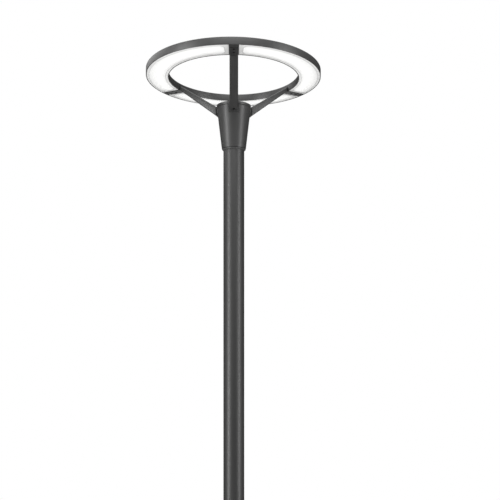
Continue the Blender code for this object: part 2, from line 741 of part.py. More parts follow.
def cap(head):
    """Flat cast cap over the chamber, on a flat ring seal, with three screws into the pillars."""
    outer = cone_radius(CASTING_TOP) - CAP_SEAL_WIDTH / 2
    low = CASTING_TOP + SEAT
    section = plate_section(outer - CAP_SEAL_WIDTH, outer, low, low + CAP_SEAL)
    place(shaped("cap_seal", turned(section, POLE_SIDES)), head, "rubber")

    bottom = COLLAR_HEIGHT - CAP_THICKNESS
    reach = pillar_reach()
    flat = reach - CAP_SCREW_HEAD
    rim = cone_radius(COLLAR_HEIGHT)
    lid = [
        (0, bottom),
        (cone_radius(bottom), bottom),
        (rim, COLLAR_HEIGHT - CAP_EDGE),
        (rim - CAP_EDGE, COLLAR_HEIGHT),
        (flat, COLLAR_HEIGHT),
        (flat - 2 * CAP_CROWN, COLLAR_HEIGHT + CAP_CROWN),
        (0, COLLAR_HEIGHT + CAP_CROWN),
    ]
    lid = shaped("collar_cap", turned(lid, POLE_SIDES))
    through = Matrix.Translation((reach, 0, bottom - CAP_THICKNESS))
    drills = [rod(CAP_SCREW + 2 * SEAT, 3 * CAP_THICKNESS) for turn in BETWEEN_ARMS]
    holes = [moved(drill, about_z(turn) @ through) for drill, turn in zip(drills, BETWEEN_ARMS.values())]
    combine(lid, "DIFFERENCE", *holes)
    place(settled(lid), head, "anthracite")

    length = COLLAR_HEIGHT - CASTING_TOP + CAP_SCREW_LENGTH - SEAT
    bolt = screw(CAP_SCREW, length, CAP_SCREW_HEAD, CAP_SCREW_HEAD_HEIGHT)
    moved(bolt, Matrix.Translation((reach, 0, COLLAR_HEIGHT + SEAT)))
    copies(shaped("cap_bolt", bolt), head, "stainless", BETWEEN_ARMS, "cap_screw")


def driver_bolt_reach():
    return DRIVER_DIAMETER / 2 - DRIVER_BOLT_INSET


def driver(head):
    """Potted LED driver on the shelf, two screws, and the gland where the cable comes up through it."""
    low = SHELF_TOP + SEAT
    high = low + DRIVER_HEIGHT
    radius = DRIVER_DIAMETER / 2
    entry = CABLE / 2 + 2 * SEAT
    puck = [
        (0, low + 2 * CABLE),
        (entry, low + 2 * CABLE),
        (entry, low),
        (radius, low),
        (radius, high - DRIVER_EDGE),
        (radius - DRIVER_EDGE, high),
        (0, high),
    ]
    body = shaped("led_driver", turned(puck, POLE_SIDES))
    reach = driver_bolt_reach()
    holes = []
    for side in (-1, 1):
        at = Matrix.Translation((side * reach, 0, low - DRIVER_HEIGHT / 2))
        holes.append(moved(rod(DRIVER_BOLT + 2 * SEAT, 2 * DRIVER_HEIGHT), at))
    combine(body, "DIFFERENCE", *holes)
    place(settled(body), head, "black_plastic")

    length = DRIVER_HEIGHT + 2 * SEAT + DRIVER_BOLT_BITE
    bolt = screw(DRIVER_BOLT, length, DRIVER_BOLT_HEAD, DRIVER_BOLT_HEAD_HEIGHT)
    moved(bolt, Matrix.Translation((reach, 0, high + SEAT)))
    copies(shaped("driver_bolt", bolt), head, "stainless", {"right": 0.0, "left": 180.0}, "driver_screw")

    top = SOCKET_DEPTH
    bottom = top - GLAND_FLANGE_HEIGHT - GLAND_DROP
    gland = [
        (entry, bottom),
        (GLAND_BODY / 2 - SHELF / 2, bottom),
        (GLAND_BODY / 2, bottom + SHELF / 2),
        (GLAND_BODY / 2, top - GLAND_FLANGE_HEIGHT),
        (GLAND_FLANGE / 2, top - GLAND_FLANGE_HEIGHT),
        (GLAND_FLANGE / 2, top),
        (entry, top),
    ]
    place(shaped("cable_gland", turned(gland, SCREW_SIDES * 2)), head, "black_plastic")


def tongue_screw_seat():
    """Underside of a tongue screw's head, sunk in the tongue."""
    return RING_BOTTOM - SEAT - TONGUE_THICKNESS + TONGUE_SCREW_SINK


def arms(head):
    """Three raking arms: foot on the collar's seat, tapered strut, necked tip and tongue under the ring."""
    tongue_low = RING_BOTTOM - SEAT - TONGUE_THICKNESS
    foot_low = COLLAR_HEIGHT - ARM_FOOT_LOW
    slope = (RING_BOTTOM - foot_low) / (ARM_TIP - ARM_FOOT)
    knee = ARM_FOOT + (tongue_low - foot_low) / slope
    set_back = ARM_FOOT + ARM_SETBACK
    pad_top = COLLAR_HEIGHT - PAD_TOP
    foot, tip = ARM_FOOT_WIDTH / 2, ARM_TIP_WIDTH / 2
    side = [
        (ARM_FOOT, foot_low, foot),
        (knee, tongue_low, tip),
        (TONGUE_END, tongue_low, tip),
        (TONGUE_END, tongue_low + TONGUE_THICKNESS, tip),
        (ARM_TIP, tongue_low + TONGUE_THICKNESS, tip),
        (ARM_TIP, RING_BOTTOM + ARM_TIP_DEPTH, tip),
        (set_back, COLLAR_HEIGHT + ARM_FOOT_HIGH, foot),
        (set_back, pad_top, foot),
        (ARM_FOOT, pad_top, foot),
    ]
    bm = bmesh.new()
    near = [bm.verts.new((x, -half, z)) for x, z, half in side]
    far = [bm.verts.new((x, half, z)) for x, z, half in side]
    bm.faces.new(near)
    bm.faces.new(far[::-1])
    for i, vert in enumerate(near):
        bm.faces.new((near[i - 1], vert, far[i], far[i - 1]))
    arm = shaped("arm", eased(bm, ARM_EDGE))
    cuts = []
    for hand in (-1, 1):
        inner, outer = sorted((hand * (tip - NECK_INSET), hand * 2 * tip))
        start = (ARM_TIP - NECK_LENGTH, inner, RING_BOTTOM)
        cuts.append(block(start, (ARM_TIP + NECK_LENGTH, outer, RING_BOTTOM + 2 * ARM_TIP_DEPTH)))
    cuts.append(lead_rod(LEAD_BORE, PAD_REACH - LEAD_BORE, RING_INNER + LEAD_BORE))
    hole = facing((1, 0, 0), (PAD_REACH - FOOT_SEAT, 0, FOOT_SCREW_HEIGHT))
    cuts.append(moved(rod(FOOT_SCREW + 2 * SEAT, 3 * FOOT_SEAT), hole))
    sunk = facing((1, 0, 0), (ARM_FOOT + FOOT_SEAT, 0, FOOT_SCREW_HEIGHT))
    cuts.append(moved(rod(FOOT_SCREW_HEAD + 2 * SEAT, PAD_WIDTH), sunk))
    for reach in TONGUE_SCREWS.values():
        under = Matrix.Translation((reach, 0, tongue_low - TONGUE_THICKNESS))
        cuts.append(moved(rod(TONGUE_SCREW + 2 * SEAT, 4 * TONGUE_THICKNESS), under))
        sink = TONGUE_THICKNESS + TONGUE_SCREW_SINK + SEAT
        cuts.append(moved(rod(TONGUE_SCREW_HEAD + 2 * SEAT, sink), under))
    combine(arm, "DIFFERENCE", *cuts)
    copies(settled(arm), head, "anthracite", ARMS, "arm")

    bolt = screw(FOOT_SCREW, FOOT_SCREW_LENGTH, FOOT_SCREW_HEAD, FOOT_SCREW_HEAD_HEIGHT)
    moved(bolt, facing((1, 0, 0), (ARM_FOOT + FOOT_SEAT + SEAT, 0, FOOT_SCREW_HEIGHT)))
    copies(shaped("foot_bolt", bolt), head, "stainless", ARMS, "foot_screw")

    length = RING_BOTTOM + RECESS + TONGUE_SCREW_BITE - tongue_screw_seat()
    for part, reach in TONGUE_SCREWS.items():
        bolt = screw(TONGUE_SCREW, length, TONGUE_SCREW_HEAD, TONGUE_SCREW_HEAD_HEIGHT)
        moved(bolt, facing((0, 0, -1), (reach, 0, tongue_screw_seat())))
        copies(shaped("tongue_bolt", bolt), head, "stainless", ARMS, f"tongue_screw_{part}")

    lead = lead_rod(LEAD, DRIVER_DIAMETER / 2 + LEAD / 2, RING_INNER + PLUG_START - LEAD / 2, SCREW_SIDES)
    copies(shaped("lead", lead), head, "cable_sheath", ARMS, "arm_lead")


def ring(head):
    """Ring housing: one channel open below, crowned at its edges, with a boss above each arm."""
    low, high = RING_BOTTOM, RING_BOTTOM + RING_HEIGHT
    ledge = low + LEDGE_HEIGHT
    roof = high - ROOF
    thick = RIM + LEDGE
    channel = [
        (RING_OUTER, low),
        (RING_OUTER, high - RING_CHAMFER),
        (RING_OUTER - RING_CHAMFER, high),
        (RING_INNER + RING_CHAMFER, high + RING_INNER_RISE),
        (RING_INNER, high + RING_INNER_RISE - RING_CHAMFER),
        (RING_INNER, low),
        (RING_INNER + RIM, low),
        (RING_INNER + RIM, ledge),
        (RING_INNER + thick, ledge),
        (RING_INNER + thick, roof),
        (RING_OUTER - thick, roof),
        (RING_OUTER - thick, ledge),
        (RING_OUTER - RIM, ledge),
        (RING_OUTER - RIM, low),
    ]
    body = shaped("ring_housing", turned(channel, RING_SIDES, BAY_END))
    seat = low + RECESS
    start, end = RING_INNER + BOSS_START, RING_INNER + BOSS_END
    corners = (start, -BOSS_WIDTH / 2, seat), (end, BOSS_WIDTH / 2, roof + ROOF / 2)
    combine(body, "UNION", *[moved(block(*corners), about_z(turn)) for turn in ARMS.values()])
    holes = []
    for turn in ARMS.values():
        holes.append(moved(lead_rod(LEAD_BORE, RING_INNER - RIM, start - LEAD / 2), about_z(turn)))
        for reach in TONGUE_SCREWS.values():
            drill = rod(TONGUE_SCREW + 2 * SEAT, TONGUE_SCREW_BITE + SEAT + RECESS)
            holes.append(moved(drill, about_z(turn) @ Matrix.Translation((reach, 0, low))))
    combine(body, "DIFFERENCE", *holes)
    place(settled(body), head, "anthracite")


def bridges(head):
    """Flat bridges across the channel: each clamps the ends of two diffusers and takes the arm's screws."""
    inner = RING_INNER + RIM + SEAT
    outer = chord(RING_OUTER - RIM - SEAT, BRIDGE_WIDTH / 2) * RING_FLAT
    top = RING_BOTTOM + RECESS - SEAT
    bar = shaped("bar", block((inner, -BRIDGE_WIDTH / 2, RING_BOTTOM), (outer, BRIDGE_WIDTH / 2, top)))
    holes = []
    for reach in TONGUE_SCREWS.values():
        through = Matrix.Translation((reach, 0, RING_BOTTOM - RECESS / 2))
        holes.append(moved(rod(TONGUE_SCREW + 2 * SEAT, 2 * RECESS), through))
    combine(bar, "DIFFERENCE", *holes)
    copies(settled(bar), head, "anthracite", ARMS, "ring_bridge")


def plate_section(inner, outer, low, high):
    return [(inner, low), (outer, low), (outer, high), (inner, high)]


def bays(head):
    """The three light bays: board with its chips, plug, seal and opal diffuser."""
    inner = RING_INNER + RIM + SLIP
    outer = RING_OUTER - RIM - SLIP
    low = RING_BOTTOM + RECESS
    bm = swept(plate_section(inner, outer, low, low + FLANGE), BAY_END, BAY - BAY_END, BAY_STEPS)
    bm.normal_update()
    under = [face for face in bm.faces if abs(face.calc_center_median().z - low) < 1e-6]
    bmesh.ops.inset_region(bm, faces=under, thickness=FLANGE_WIDTH, use_even_offset=True)
    bmesh.ops.inset_region(bm, faces=under, thickness=PAN_DROP, use_even_offset=True)
    bmesh.ops.translate(bm, vec=(0, 0, -PAN_DROP), verts=list({v for face in under for v in face.verts}))
    copies(shaped("opal", bm), head, "opal", BAYS, "diffuser")

    low = RING_BOTTOM + RECESS + FLANGE + SEAT
    margin = math.degrees(RING_SEAL_WIDTH / RING_INNER)
    section = plate_section(inner, outer, low, low + RING_SEAL)
    gasket = shaped("gasket", swept(section, BAY_END, BAY - BAY_END, BAY_STEPS))
    gap = plate_section(inner + RING_SEAL_WIDTH, outer - RING_SEAL_WIDTH, low - FLANGE, low + FLANGE)
    combine(gasket, "DIFFERENCE", swept(gap, BAY_END + margin, BAY - BAY_END - margin, BAY_STEPS))
    copies(settled(gasket), head, "rubber", BAYS, "diffuser_seal")

    high = RING_BOTTOM + RING_HEIGHT - ROOF - SEAT
    strip = plate_section(RING_INNER + BOARD_INNER, RING_INNER + BOARD_OUTER, high - BOARD, high)
    bm = swept(strip, BOARD_END, BAY - BOARD_END, BOARD_STEPS)
    bm.normal_update()
    under = [face for face in bm.faces if abs(face.calc_center_median().z - (high - BOARD)) < 1e-6]
    bmesh.ops.inset_individual(bm, faces=under, thickness=CHIP_MARGIN)
    bmesh.ops.translate(bm, vec=(0, 0, -CHIP_HEIGHT), verts=list({v for face in under for v in face.verts}))
    copies(shaped("strip", bm), head, "board", BAYS, "led_board")

    start, end = RING_INNER + PLUG_START, RING_INNER + BOSS_START - SEAT
    plug = block((start, -PLUG_WIDTH / 2, high - PLUG_HEIGHT), (end, PLUG_WIDTH / 2, high))
    copies(shaped("plug", plug), head, "black_plastic", ARMS, "lead_plug")


for old in list(bpy.data.objects):
    bpy.data.objects.remove(old)

post_body = carrier("post", (0, 0, 0))
head_body = carrier("head", (0, 0, HEAD_FOOT))
door_body = carrier("door", (0, 0, DOOR_CENTRE))
key_body = carrier("door_key", (0, 0, DOOR_CENTRE))
lever_body = carrier("lever", lever_pivot())
base(post_body)
pole(post_body)
gear(post_body)
pole_cable(post_body)
door(door_body, key_body)
fuse_lever(lever_body)
collar(head_body)
cap(head_body)
driver(head_body)
arms(head_body)
ring(head_body)
bridges(head_body)
bays(head_body)
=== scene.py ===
"""Post-top street lamp, dressed: satin anthracite castings on a steel pole, opal light panels in a slim ring.

Metres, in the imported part's own frame: +Z up the pole, with the front arm and the inspection door towards -Y.
"""

import math

import bmesh
import bpy
from mathutils import Matrix, Vector


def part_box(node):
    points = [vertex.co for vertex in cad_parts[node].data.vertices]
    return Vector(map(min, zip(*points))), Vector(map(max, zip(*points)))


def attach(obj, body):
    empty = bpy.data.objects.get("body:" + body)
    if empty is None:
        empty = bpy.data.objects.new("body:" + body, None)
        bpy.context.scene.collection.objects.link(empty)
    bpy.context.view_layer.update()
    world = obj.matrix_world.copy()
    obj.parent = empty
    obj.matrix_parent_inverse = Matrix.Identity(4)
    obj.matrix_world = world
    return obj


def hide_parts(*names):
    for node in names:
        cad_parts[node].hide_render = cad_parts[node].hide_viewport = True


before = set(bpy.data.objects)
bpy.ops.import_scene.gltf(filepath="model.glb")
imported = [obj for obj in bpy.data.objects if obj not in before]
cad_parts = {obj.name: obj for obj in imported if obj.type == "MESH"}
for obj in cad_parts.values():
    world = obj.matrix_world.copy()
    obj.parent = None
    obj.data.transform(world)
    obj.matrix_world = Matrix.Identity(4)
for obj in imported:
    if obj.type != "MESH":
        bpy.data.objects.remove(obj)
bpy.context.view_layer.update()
scene = bpy.context.scene
scene.view_settings.view_transform = "Standard"
MM = 0.001

# Camera: level, in front of the front arm and well below the ring, so that the lit undersides show.
# It is turned a little to the right, which puts the pole left of the middle of the picture.
LENS = 34.75  # focal length in millimetres
STAND_OFF = 1763 * MM
DROP_BELOW_COLLAR = 369 * MM
YAW = -1.917  # degrees

eye = bpy.data.cameras.new("camera")
eye.lens = LENS
camera = bpy.data.objects.new("camera", eye)
camera.location = (0, -STAND_OFF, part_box("spigot_collar")[0].z - DROP_BELOW_COLLAR)
camera.rotation_euler = (math.radians(90), 0, math.radians(YAW))
scene.collection.objects.link(camera)
scene.camera = camera

# Pole: one straight length of drawn steel tube, powder coated in satin anthracite.
# A round-ended opening for the inspection door is cut through its wall near the foot.
POLE_WALL = 3.2 * MM
POLE_SIDES = 128
POLE_LIP = 0.8 * MM
OPENING_WIDTH = 38 * MM
OPENING_HEIGHT = 132 * MM
OPENING_MARGIN = 24 * MM  # plain tube kept between the opening and the next ring of points
FULL_ROUND = 0.4999  # rounding of a round end, as a share of its width
TUBE_DARK = (0.023, 0.023, 0.0229, 1)
TUBE_LIGHT = (0.030, 0.030, 0.0297, 1)
DUST = (0.30, 0.29, 0.27, 1)
COAT_GLOSS = 0.42
COAT_PATCH = 90 * MM
DUST_PATCH = 14 * MM
DUST_COVER = 0.10


class Wire:
    """One socket of a material. Arithmetic on it adds Math nodes, and node() adds any other."""

    def __init__(self, tree, socket=None):
        self.tree = tree
        self.socket = socket

    def node(self, kind, settings=None, sockets=None, output=0):
        """A new node: its settings first, then the values or links of its sockets."""
        new = self.tree.nodes.new(kind)
        for key, value in (settings or {}).items():
            setattr(new, key, value)
        for key, value in (sockets or {}).items():
            if isinstance(value, Wire):
                self.tree.links.new(value.socket, new.inputs[key])
            else:
                new.inputs[key].default_value = value
        return Wire(self.tree, new.outputs[output])

    def math(self, operation, first, second=0.0):
        """A Math node on one or two wires or numbers."""
        return self.node("ShaderNodeMath", {"operation": operation}, {0: first, 1: second})

    def __add__(self, other):
        return self.math("ADD", self, other)

    def __sub__(self, other):
        return self.math("SUBTRACT", self, other)

    def __rsub__(self, other):
        return self.math("SUBTRACT", other, self)

    def __mul__(self, other):
        return self.math("MULTIPLY", self, other)

    def __truediv__(self, other):
        return self.math("DIVIDE", self, other)

    def __abs__(self):
        return self.math("ABSOLUTE", self)

    __radd__ = __add__
    __rmul__ = __mul__

    def between(self, low, high):
        """0 below the low value, 1 above the high one and a soft step from one to the other."""
        settings = {"interpolation_type": "SMOOTHSTEP"}
        return self.node("ShaderNodeMapRange", settings, {"Value": self, "From Min": low, "From Max": high})

    def colours(self, first, second):
        """The first colour at 0 and the second at 1."""
        return self.node("ShaderNodeMix", {"data_type": "RGBA"}, {0: self, 6: first, 7: second}, 2)

    def feeds(self, material, socket):
        """Links this wire to a socket of the material's shader."""
        self.tree.links.new(self.socket, material.node_tree.nodes["Principled BSDF"].inputs[socket])


def surface(name, fixed):
    """A new material with its shader's fixed values, and a wire that its pattern grows from."""
    material = bpy.data.materials.new(name)
    material.use_nodes = True
    shader = material.node_tree.nodes["Principled BSDF"]
    for socket, value in fixed.items():
        shader.inputs[socket].default_value = value
    return material, Wire(material.node_tree)


def grain(wire, size, stretch=(1, 1, 1), detail=2.0):
    """Noise from 0 to 1 on the piece's own coordinates, with lumps of about a given size in metres."""
    place = wire.node("ShaderNodeTexCoord", output="Object")
    place = wire.node("ShaderNodeMapping", None, {"Vector": place, "Scale": stretch})
    return wire.node("ShaderNodeTexNoise", None, {"Vector": place, "Scale": 1 / size, "Detail": detail})


def dented(wire, material, height, depth):
    """Bumps a surface by a height from 0 to 1 that stands for a depth in metres."""
    bump = wire.node("ShaderNodeBump", None, {"Height": height, "Distance": depth, "Strength": 1.0})
    bump.feeds(material, "Normal")


def powder_coat(name, dark, light, peel_size, peel_depth, streaks):
    """Satin powder coat: fine orange peel, a slow change of tone, rain streaks and dust on what looks up."""
    fixed = {"Roughness": COAT_GLOSS, "Specular IOR Level": 0.5, "IOR": 1.5}
    material, wire = surface(name, fixed)
    tone = grain(wire, COAT_PATCH, streaks, 3.0).between(0.25, 0.75)
    coat = tone.colours(dark, light)
    up = wire.node("ShaderNodeTexCoord", output="Normal")
    up = wire.node("ShaderNodeSeparateXYZ", None, {0: up}, "Z").between(0.7, 1.0)
    settled = up * grain(wire, DUST_PATCH, detail=4.0).between(0.42, 0.8) * DUST_COVER
    settled.colours(coat, DUST).feeds(material, "Base Color")
    peel = grain(wire, peel_size)
    (COAT_GLOSS - 0.05 + 0.1 * peel + 0.3 * settled).feeds(material, "Roughness")
    dented(wire, material, peel, peel_depth)
    return material


def rounded(corners, steps=4, base=0.0):
    """Points of a closed outline of (radius, height, rounding) corners, with a curve at each rounded one.

    The corners' heights are measured from a base height.
    """
    points = []
    for index, (radius, height, ease) in enumerate(corners):
        corner = Vector((radius, height))
        if not ease:
            points.append(corner)
            continue
        before = Vector(corners[index - 1][:2])
        after = Vector(corners[(index + 1) % len(corners)][:2])
        start = corner + (before - corner).normalized() * ease
        end = corner + (after - corner).normalized() * ease
        for step in range(steps + 1):
            t = step / steps
            points.append(start * (1 - t) ** 2 + corner * 2 * t * (1 - t) + end * t * t)
    return [point + Vector((0, base)) for point in points]


def started(name, size=(1, 1, 1)):
    """Names the primitive that was just added, and puts its size and place in its mesh."""
    piece = bpy.context.object
    piece.scale = size
    piece.name = name
    piece.data.name = name
    bpy.ops.object.transform_apply(location=True, rotation=True, scale=True)
    return piece


def turned(name, outline, sides, ring=True):
    """A piece turned about the pole's axis: a circle, extruded and resized along the points of an outline.

    A ring's outline closes on its first point; otherwise both open ends are filled.
    """
    radius, height = outline[0]
    bpy.ops.object.select_all(action="DESELECT")
    bpy.ops.mesh.primitive_circle_add(vertices=sides, radius=radius, location=(0, 0, height))
    piece = started(name)
    bpy.ops.object.mode_set(mode="EDIT")
    bpy.ops.mesh.select_all(action="SELECT")
    for next_radius, next_height in [*outline[1:], *outline[: 1 if ring else 0]]:
        bpy.ops.mesh.extrude_region_move(TRANSFORM_OT_translate={"value": (0, 0, next_height - height)})
        grow = next_radius / radius
        bpy.ops.transform.resize(value=(grow, grow, 1), center_override=(0, 0, next_height))
        radius, height = next_radius, next_height
    bpy.ops.mesh.select_all(action="SELECT")
    bpy.ops.mesh.remove_doubles(threshold=1e-6)
    if not ring:
        bpy.ops.mesh.fill_holes(sides=0)
    bpy.ops.mesh.select_all(action="SELECT")
    bpy.ops.mesh.normals_make_consistent(inside=False)
    bpy.ops.object.mode_set(mode="OBJECT")
    return piece


def block(name, low, high):
    """A box between two corners, to be shaped further."""
    low, high = Vector(low), Vector(high)
    bpy.ops.object.select_all(action="DESELECT")
    bpy.ops.mesh.primitive_cube_add(size=1, location=(low + high) / 2)
    return started(name, high - low)


def select(piece, kind, test):
    """In edit mode, selects only the faces or edges of a piece that pass a test."""
    bpy.ops.mesh.select_mode(type=kind)
    bpy.ops.mesh.select_all(action="DESELECT")
    mesh = bmesh.from_edit_mesh(piece.data)
    mesh.normal_update()
    for part in mesh.faces if kind == "FACE" else mesh.edges:
        if test(part):
            part.select_set(True)
    mesh.select_flush_mode()
    bmesh.update_edit_mesh(piece.data)


def runs_along(axis):
    """A test for edges that lie along one axis: 0, 1 or 2 for X, Y or Z."""
    return lambda edge: abs((edge.verts[0].co - edge.verts[1].co).normalized()[axis]) > 0.999


def round_edges(piece, test, radius, steps):
    """Rounds the edges that pass a test."""
    bpy.ops.object.mode_set(mode="EDIT")
    select(piece, "EDGE", test)
    bpy.ops.mesh.bevel(offset=radius, segments=steps, affect="EDGES", clamp_overlap=True)
    bpy.ops.object.mode_set(mode="OBJECT")
    return piece


def apply(piece, step):
    """Applies a modifier to its piece."""
    bpy.context.view_layer.objects.active = piece
    bpy.ops.object.modifier_apply(modifier=step.name)


def combine(piece, operation, *tools):
    """Adds tools to a piece, cuts them out of it or keeps what they share, and clears them away."""
    for tool in tools:
        step = piece.modifiers.new("step", "BOOLEAN")
        step.operation = operation
        step.solver = "EXACT"
        step.object = tool
        apply(piece, step)
        bpy.data.objects.remove(tool)
    return piece


def ease_edges(piece, width, sharp=38.0, steps=2):
    """Takes the sharpness off every edge that turns by more than an angle."""
    step = piece.modifiers.new("ease", "BEVEL")
    step.width = width
    step.segments = steps
    step.limit_method = "ANGLE"
    step.angle_limit = math.radians(sharp)
    step.use_clamp_overlap = True
    apply(piece, step)


def fit(piece, material, body, nodes, sharp=30.0):
    """Shades a finished piece, gives it its material and sets it on its body in place of CAD nodes."""
    bpy.ops.object.select_all(action="DESELECT")
    bpy.context.view_layer.objects.active = piece
    piece.select_set(True)
    bpy.ops.object.shade_smooth_by_angle(angle=math.radians(sharp))
    piece.data.materials.clear()
    piece.data.materials.append(material)
    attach(piece, body)
    if nodes:
        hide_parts(*nodes)


def round_ended(name, width, height, centre, low, high):
    """Round-ended bar along Y, upright, for cutting the opening and the door."""
    half = Vector((width / 2, 0, height / 2))
    bar = block(name, Vector((0, low, centre)) - half, Vector((0, high, centre)) + half)
    return round_edges(bar, runs_along(1), width * FULL_ROUND, 24)


pole_low, pole_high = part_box("pole_tube")
POLE_RADIUS = pole_high.x
POLE_BORE = POLE_RADIUS - POLE_WALL
door_low, door_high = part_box("door_panel")
DOOR_CENTRE = (door_low.z + door_high.z) / 2
below = door_low.z - OPENING_MARGIN
above = door_high.z + OPENING_MARGIN
outline = [
    (POLE_RADIUS, pole_low.z, POLE_LIP),
    (POLE_RADIUS, below, 0),
    (POLE_RADIUS, above, 0),
    (POLE_RADIUS, pole_high.z, POLE_LIP),
    (POLE_BORE, pole_high.z, POLE_LIP),
    (POLE_BORE, above, 0),
    (POLE_BORE, below, 0),
    (POLE_BORE, pole_low.z, POLE_LIP),
]
tube_coat = powder_coat(
    "tube_coat",
    TUBE_DARK,
    TUBE_LIGHT,
    peel_size=1.3 * MM,
    peel_depth=0.012 * MM,
    streaks=(2.5, 2.5, 0.12),
)
pole = turned("pole", rounded(outline, 3), POLE_SIDES)
opening = round_ended("opening", OPENING_WIDTH, OPENING_HEIGHT, DOOR_CENTRE, -2 * POLE_RADIUS, -POLE_BORE / 3)
combine(pole, "DIFFERENCE", opening)
fit(pole, tube_coat, "post", ["pole_tube"])

# Base: cast iron plate with a sleeve round the pole's foot, four ribs and four slots for anchor bolts.
# The casting is coated like the pole, over a rougher skin, and sits on a concrete foundation.
BASE_PLATE = 16 * MM
BASE_CORNER = 24 * MM
BASE_BORE_PLAY = 0.3 * MM
SLEEVE_WALL = 8 * MM
SLEEVE_TOP = 60 * MM
SLEEVE_FOOT = 12 * MM
RIB = 8 * MM
RIB_ROOT = 0.7  # where a rib starts inside the sleeve, as a share of the pole's radius
RIB_TOE = 8 * MM
RIB_MARGIN = 14 * MM
SLOT_WIDTH = 20 * MM
SLOT_LENGTH = 34 * MM
SLOT_SPACING = 200 * MM
CABLE_ENTRY = 58 * MM
CAST_EDGE = 1.6 * MM

base_low, base_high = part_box("base_flange")
rib_end = base_high.x - RIB_MARGIN
rib_top = SLEEVE_TOP - SLEEVE_WALL


def about_pole(degrees):
    """A turn about the pole's axis."""
    return Matrix.Rotation(math.radians(degrees), 4, "Z")


def tops_toe(edge):
    """A test for the upper edge at the outer end of a rib."""
    ends = [vert.co for vert in edge.verts]
    return min(end.x for end in ends) > rib_end - MM and min(end.z for end in ends) > BASE_PLATE


iron_coat = powder_coat(
    "iron_coat",
    TUBE_DARK,
    TUBE_LIGHT,
    peel_size=2.2 * MM,
    peel_depth=0.08 * MM,
    streaks=(1, 1, 1),
)
base = block("base", base_low, (base_high.x, base_high.y, BASE_PLATE))
round_edges(base, runs_along(2), BASE_CORNER, 8)
sleeve = POLE_RADIUS + BASE_BORE_PLAY + SLEEVE_WALL
sleeve_corners = [
    (POLE_BORE / 2, BASE_PLATE / 2, 0),
    (sleeve + SLEEVE_FOOT, BASE_PLATE / 2, 0),
    (sleeve + SLEEVE_FOOT, BASE_PLATE - 0.1 * MM, 0),
    (sleeve, BASE_PLATE, SLEEVE_FOOT - 0.1 * MM),
    (sleeve, SLEEVE_TOP, SLEEVE_WALL / 2),
    (POLE_BORE / 2, SLEEVE_TOP, 0),
]
foot = turned("base_sleeve", rounded(sleeve_corners, 6), POLE_SIDES)
ribs = []
for turn in range(4):
    rib = block("rib", (POLE_RADIUS * RIB_ROOT, -RIB / 2, BASE_PLATE / 2), (rib_end, RIB / 2, rib_top))
    bpy.ops.object.mode_set(mode="EDIT")
    select(rib, "EDGE", tops_toe)
    bpy.ops.transform.translate(value=(0, 0, BASE_PLATE + RIB_TOE - rib_top))
    bpy.ops.object.mode_set(mode="OBJECT")
    rib.data.transform(about_pole(90 * turn))
    ribs.append(rib)
combine(base, "UNION", foot, *ribs)
bore = POLE_RADIUS + BASE_BORE_PLAY
bore_corners = [
    (CABLE_ENTRY / 4, -BASE_PLATE, 0),
    (CABLE_ENTRY / 2, -BASE_PLATE, 0),
    (CABLE_ENTRY / 2, BASE_PLATE, 0),
    (bore, BASE_PLATE, 0),
    (bore, 2 * SLEEVE_TOP, 0),
    (CABLE_ENTRY / 4, 2 * SLEEVE_TOP, 0),
]
slots = []
for turn in range(4):
    half = Vector((SLOT_WIDTH / 2, SLOT_LENGTH / 2, SLEEVE_TOP))
    slot = block("slot", -half, half)
    round_edges(slot, runs_along(2), SLOT_WIDTH * FULL_ROUND, 12)
    out = Matrix.Translation((SLOT_SPACING / math.sqrt(2), 0, 0))
    slot.data.transform(about_pole(45 + 90 * turn) @ out)
    slots.append(slot)
combine(base, "DIFFERENCE", turned("base_bore", rounded(bore_corners), POLE_SIDES, ring=False), *slots)
ease_edges(base, CAST_EDGE)
fit(base, iron_coat, "post", ["base_flange"])

# Inspection door: a curved piece of the same tube that lifts out of the opening, held by one key screw.
# A soft sheet seal behind it keeps the rain out.
DOOR_PLAY = 1 * MM
DOOR_EDGE = 0.6 * MM
DOOR_SCREW = 6 * MM
DOOR_SCREW_RISE = 4 * MM
DOOR_SCREW_HOLE = 6.6 * MM
DOOR_KEY = 0.62  # width of the key recess, as a share of the head
SCREW_SIDES = 48
HOLE_SIDES = 32
KEY_MIDDLE = 0.85  # height of the middle of a key recess, as a share of the head's height
RUBBER_DARK = (0.014, 0.014, 0.014, 1)
RUBBER_LIGHT = (0.032, 0.032, 0.032, 1)
STEEL_DARK = (0.34, 0.34, 0.335, 1)
STEEL_LIGHT = (0.56, 0.555, 0.545, 1)


def stainless(name, light, dark):
    """Turned stainless steel: fine tool lines and a little dulling."""
    material, wire = surface(name, {"Metallic": 1.0})
    lines = grain(wire, 0.9 * MM, (1, 1, 6))
    dull = grain(wire, 6 * MM, detail=3.0).between(0.3, 0.8)
    dull.colours(light, dark).feeds(material, "Base Color")
    (0.26 + 0.16 * dull + 0.08 * lines).feeds(material, "Roughness")
    dented(wire, material, lines, 0.006 * MM)
    return material


def rubber(name):
    """Moulded seal rubber: matt, with a fine grain and paler rubbed patches."""
    material, wire = surface(name, {"Roughness": 0.8, "Specular IOR Level": 0.3})
    rubbed = grain(wire, 9 * MM, detail=4.0).between(0.35, 0.8)
    rubbed.colours(RUBBER_DARK, RUBBER_LIGHT).feeds(material, "Base Color")
    skin = grain(wire, 0.5 * MM)
    (0.72 + 0.15 * skin).feeds(material, "Roughness")
    dented(wire, material, skin, 0.02 * MM)
    return material


def rod(name, diameter, low, high):
    """A plain round bar about the pole's axis between two heights, for drilling or as a pin."""
    ends = [Vector((diameter / 2, low)), Vector((diameter / 2, high))]
    return turned(name, ends, HOLE_SIDES, ring=False)


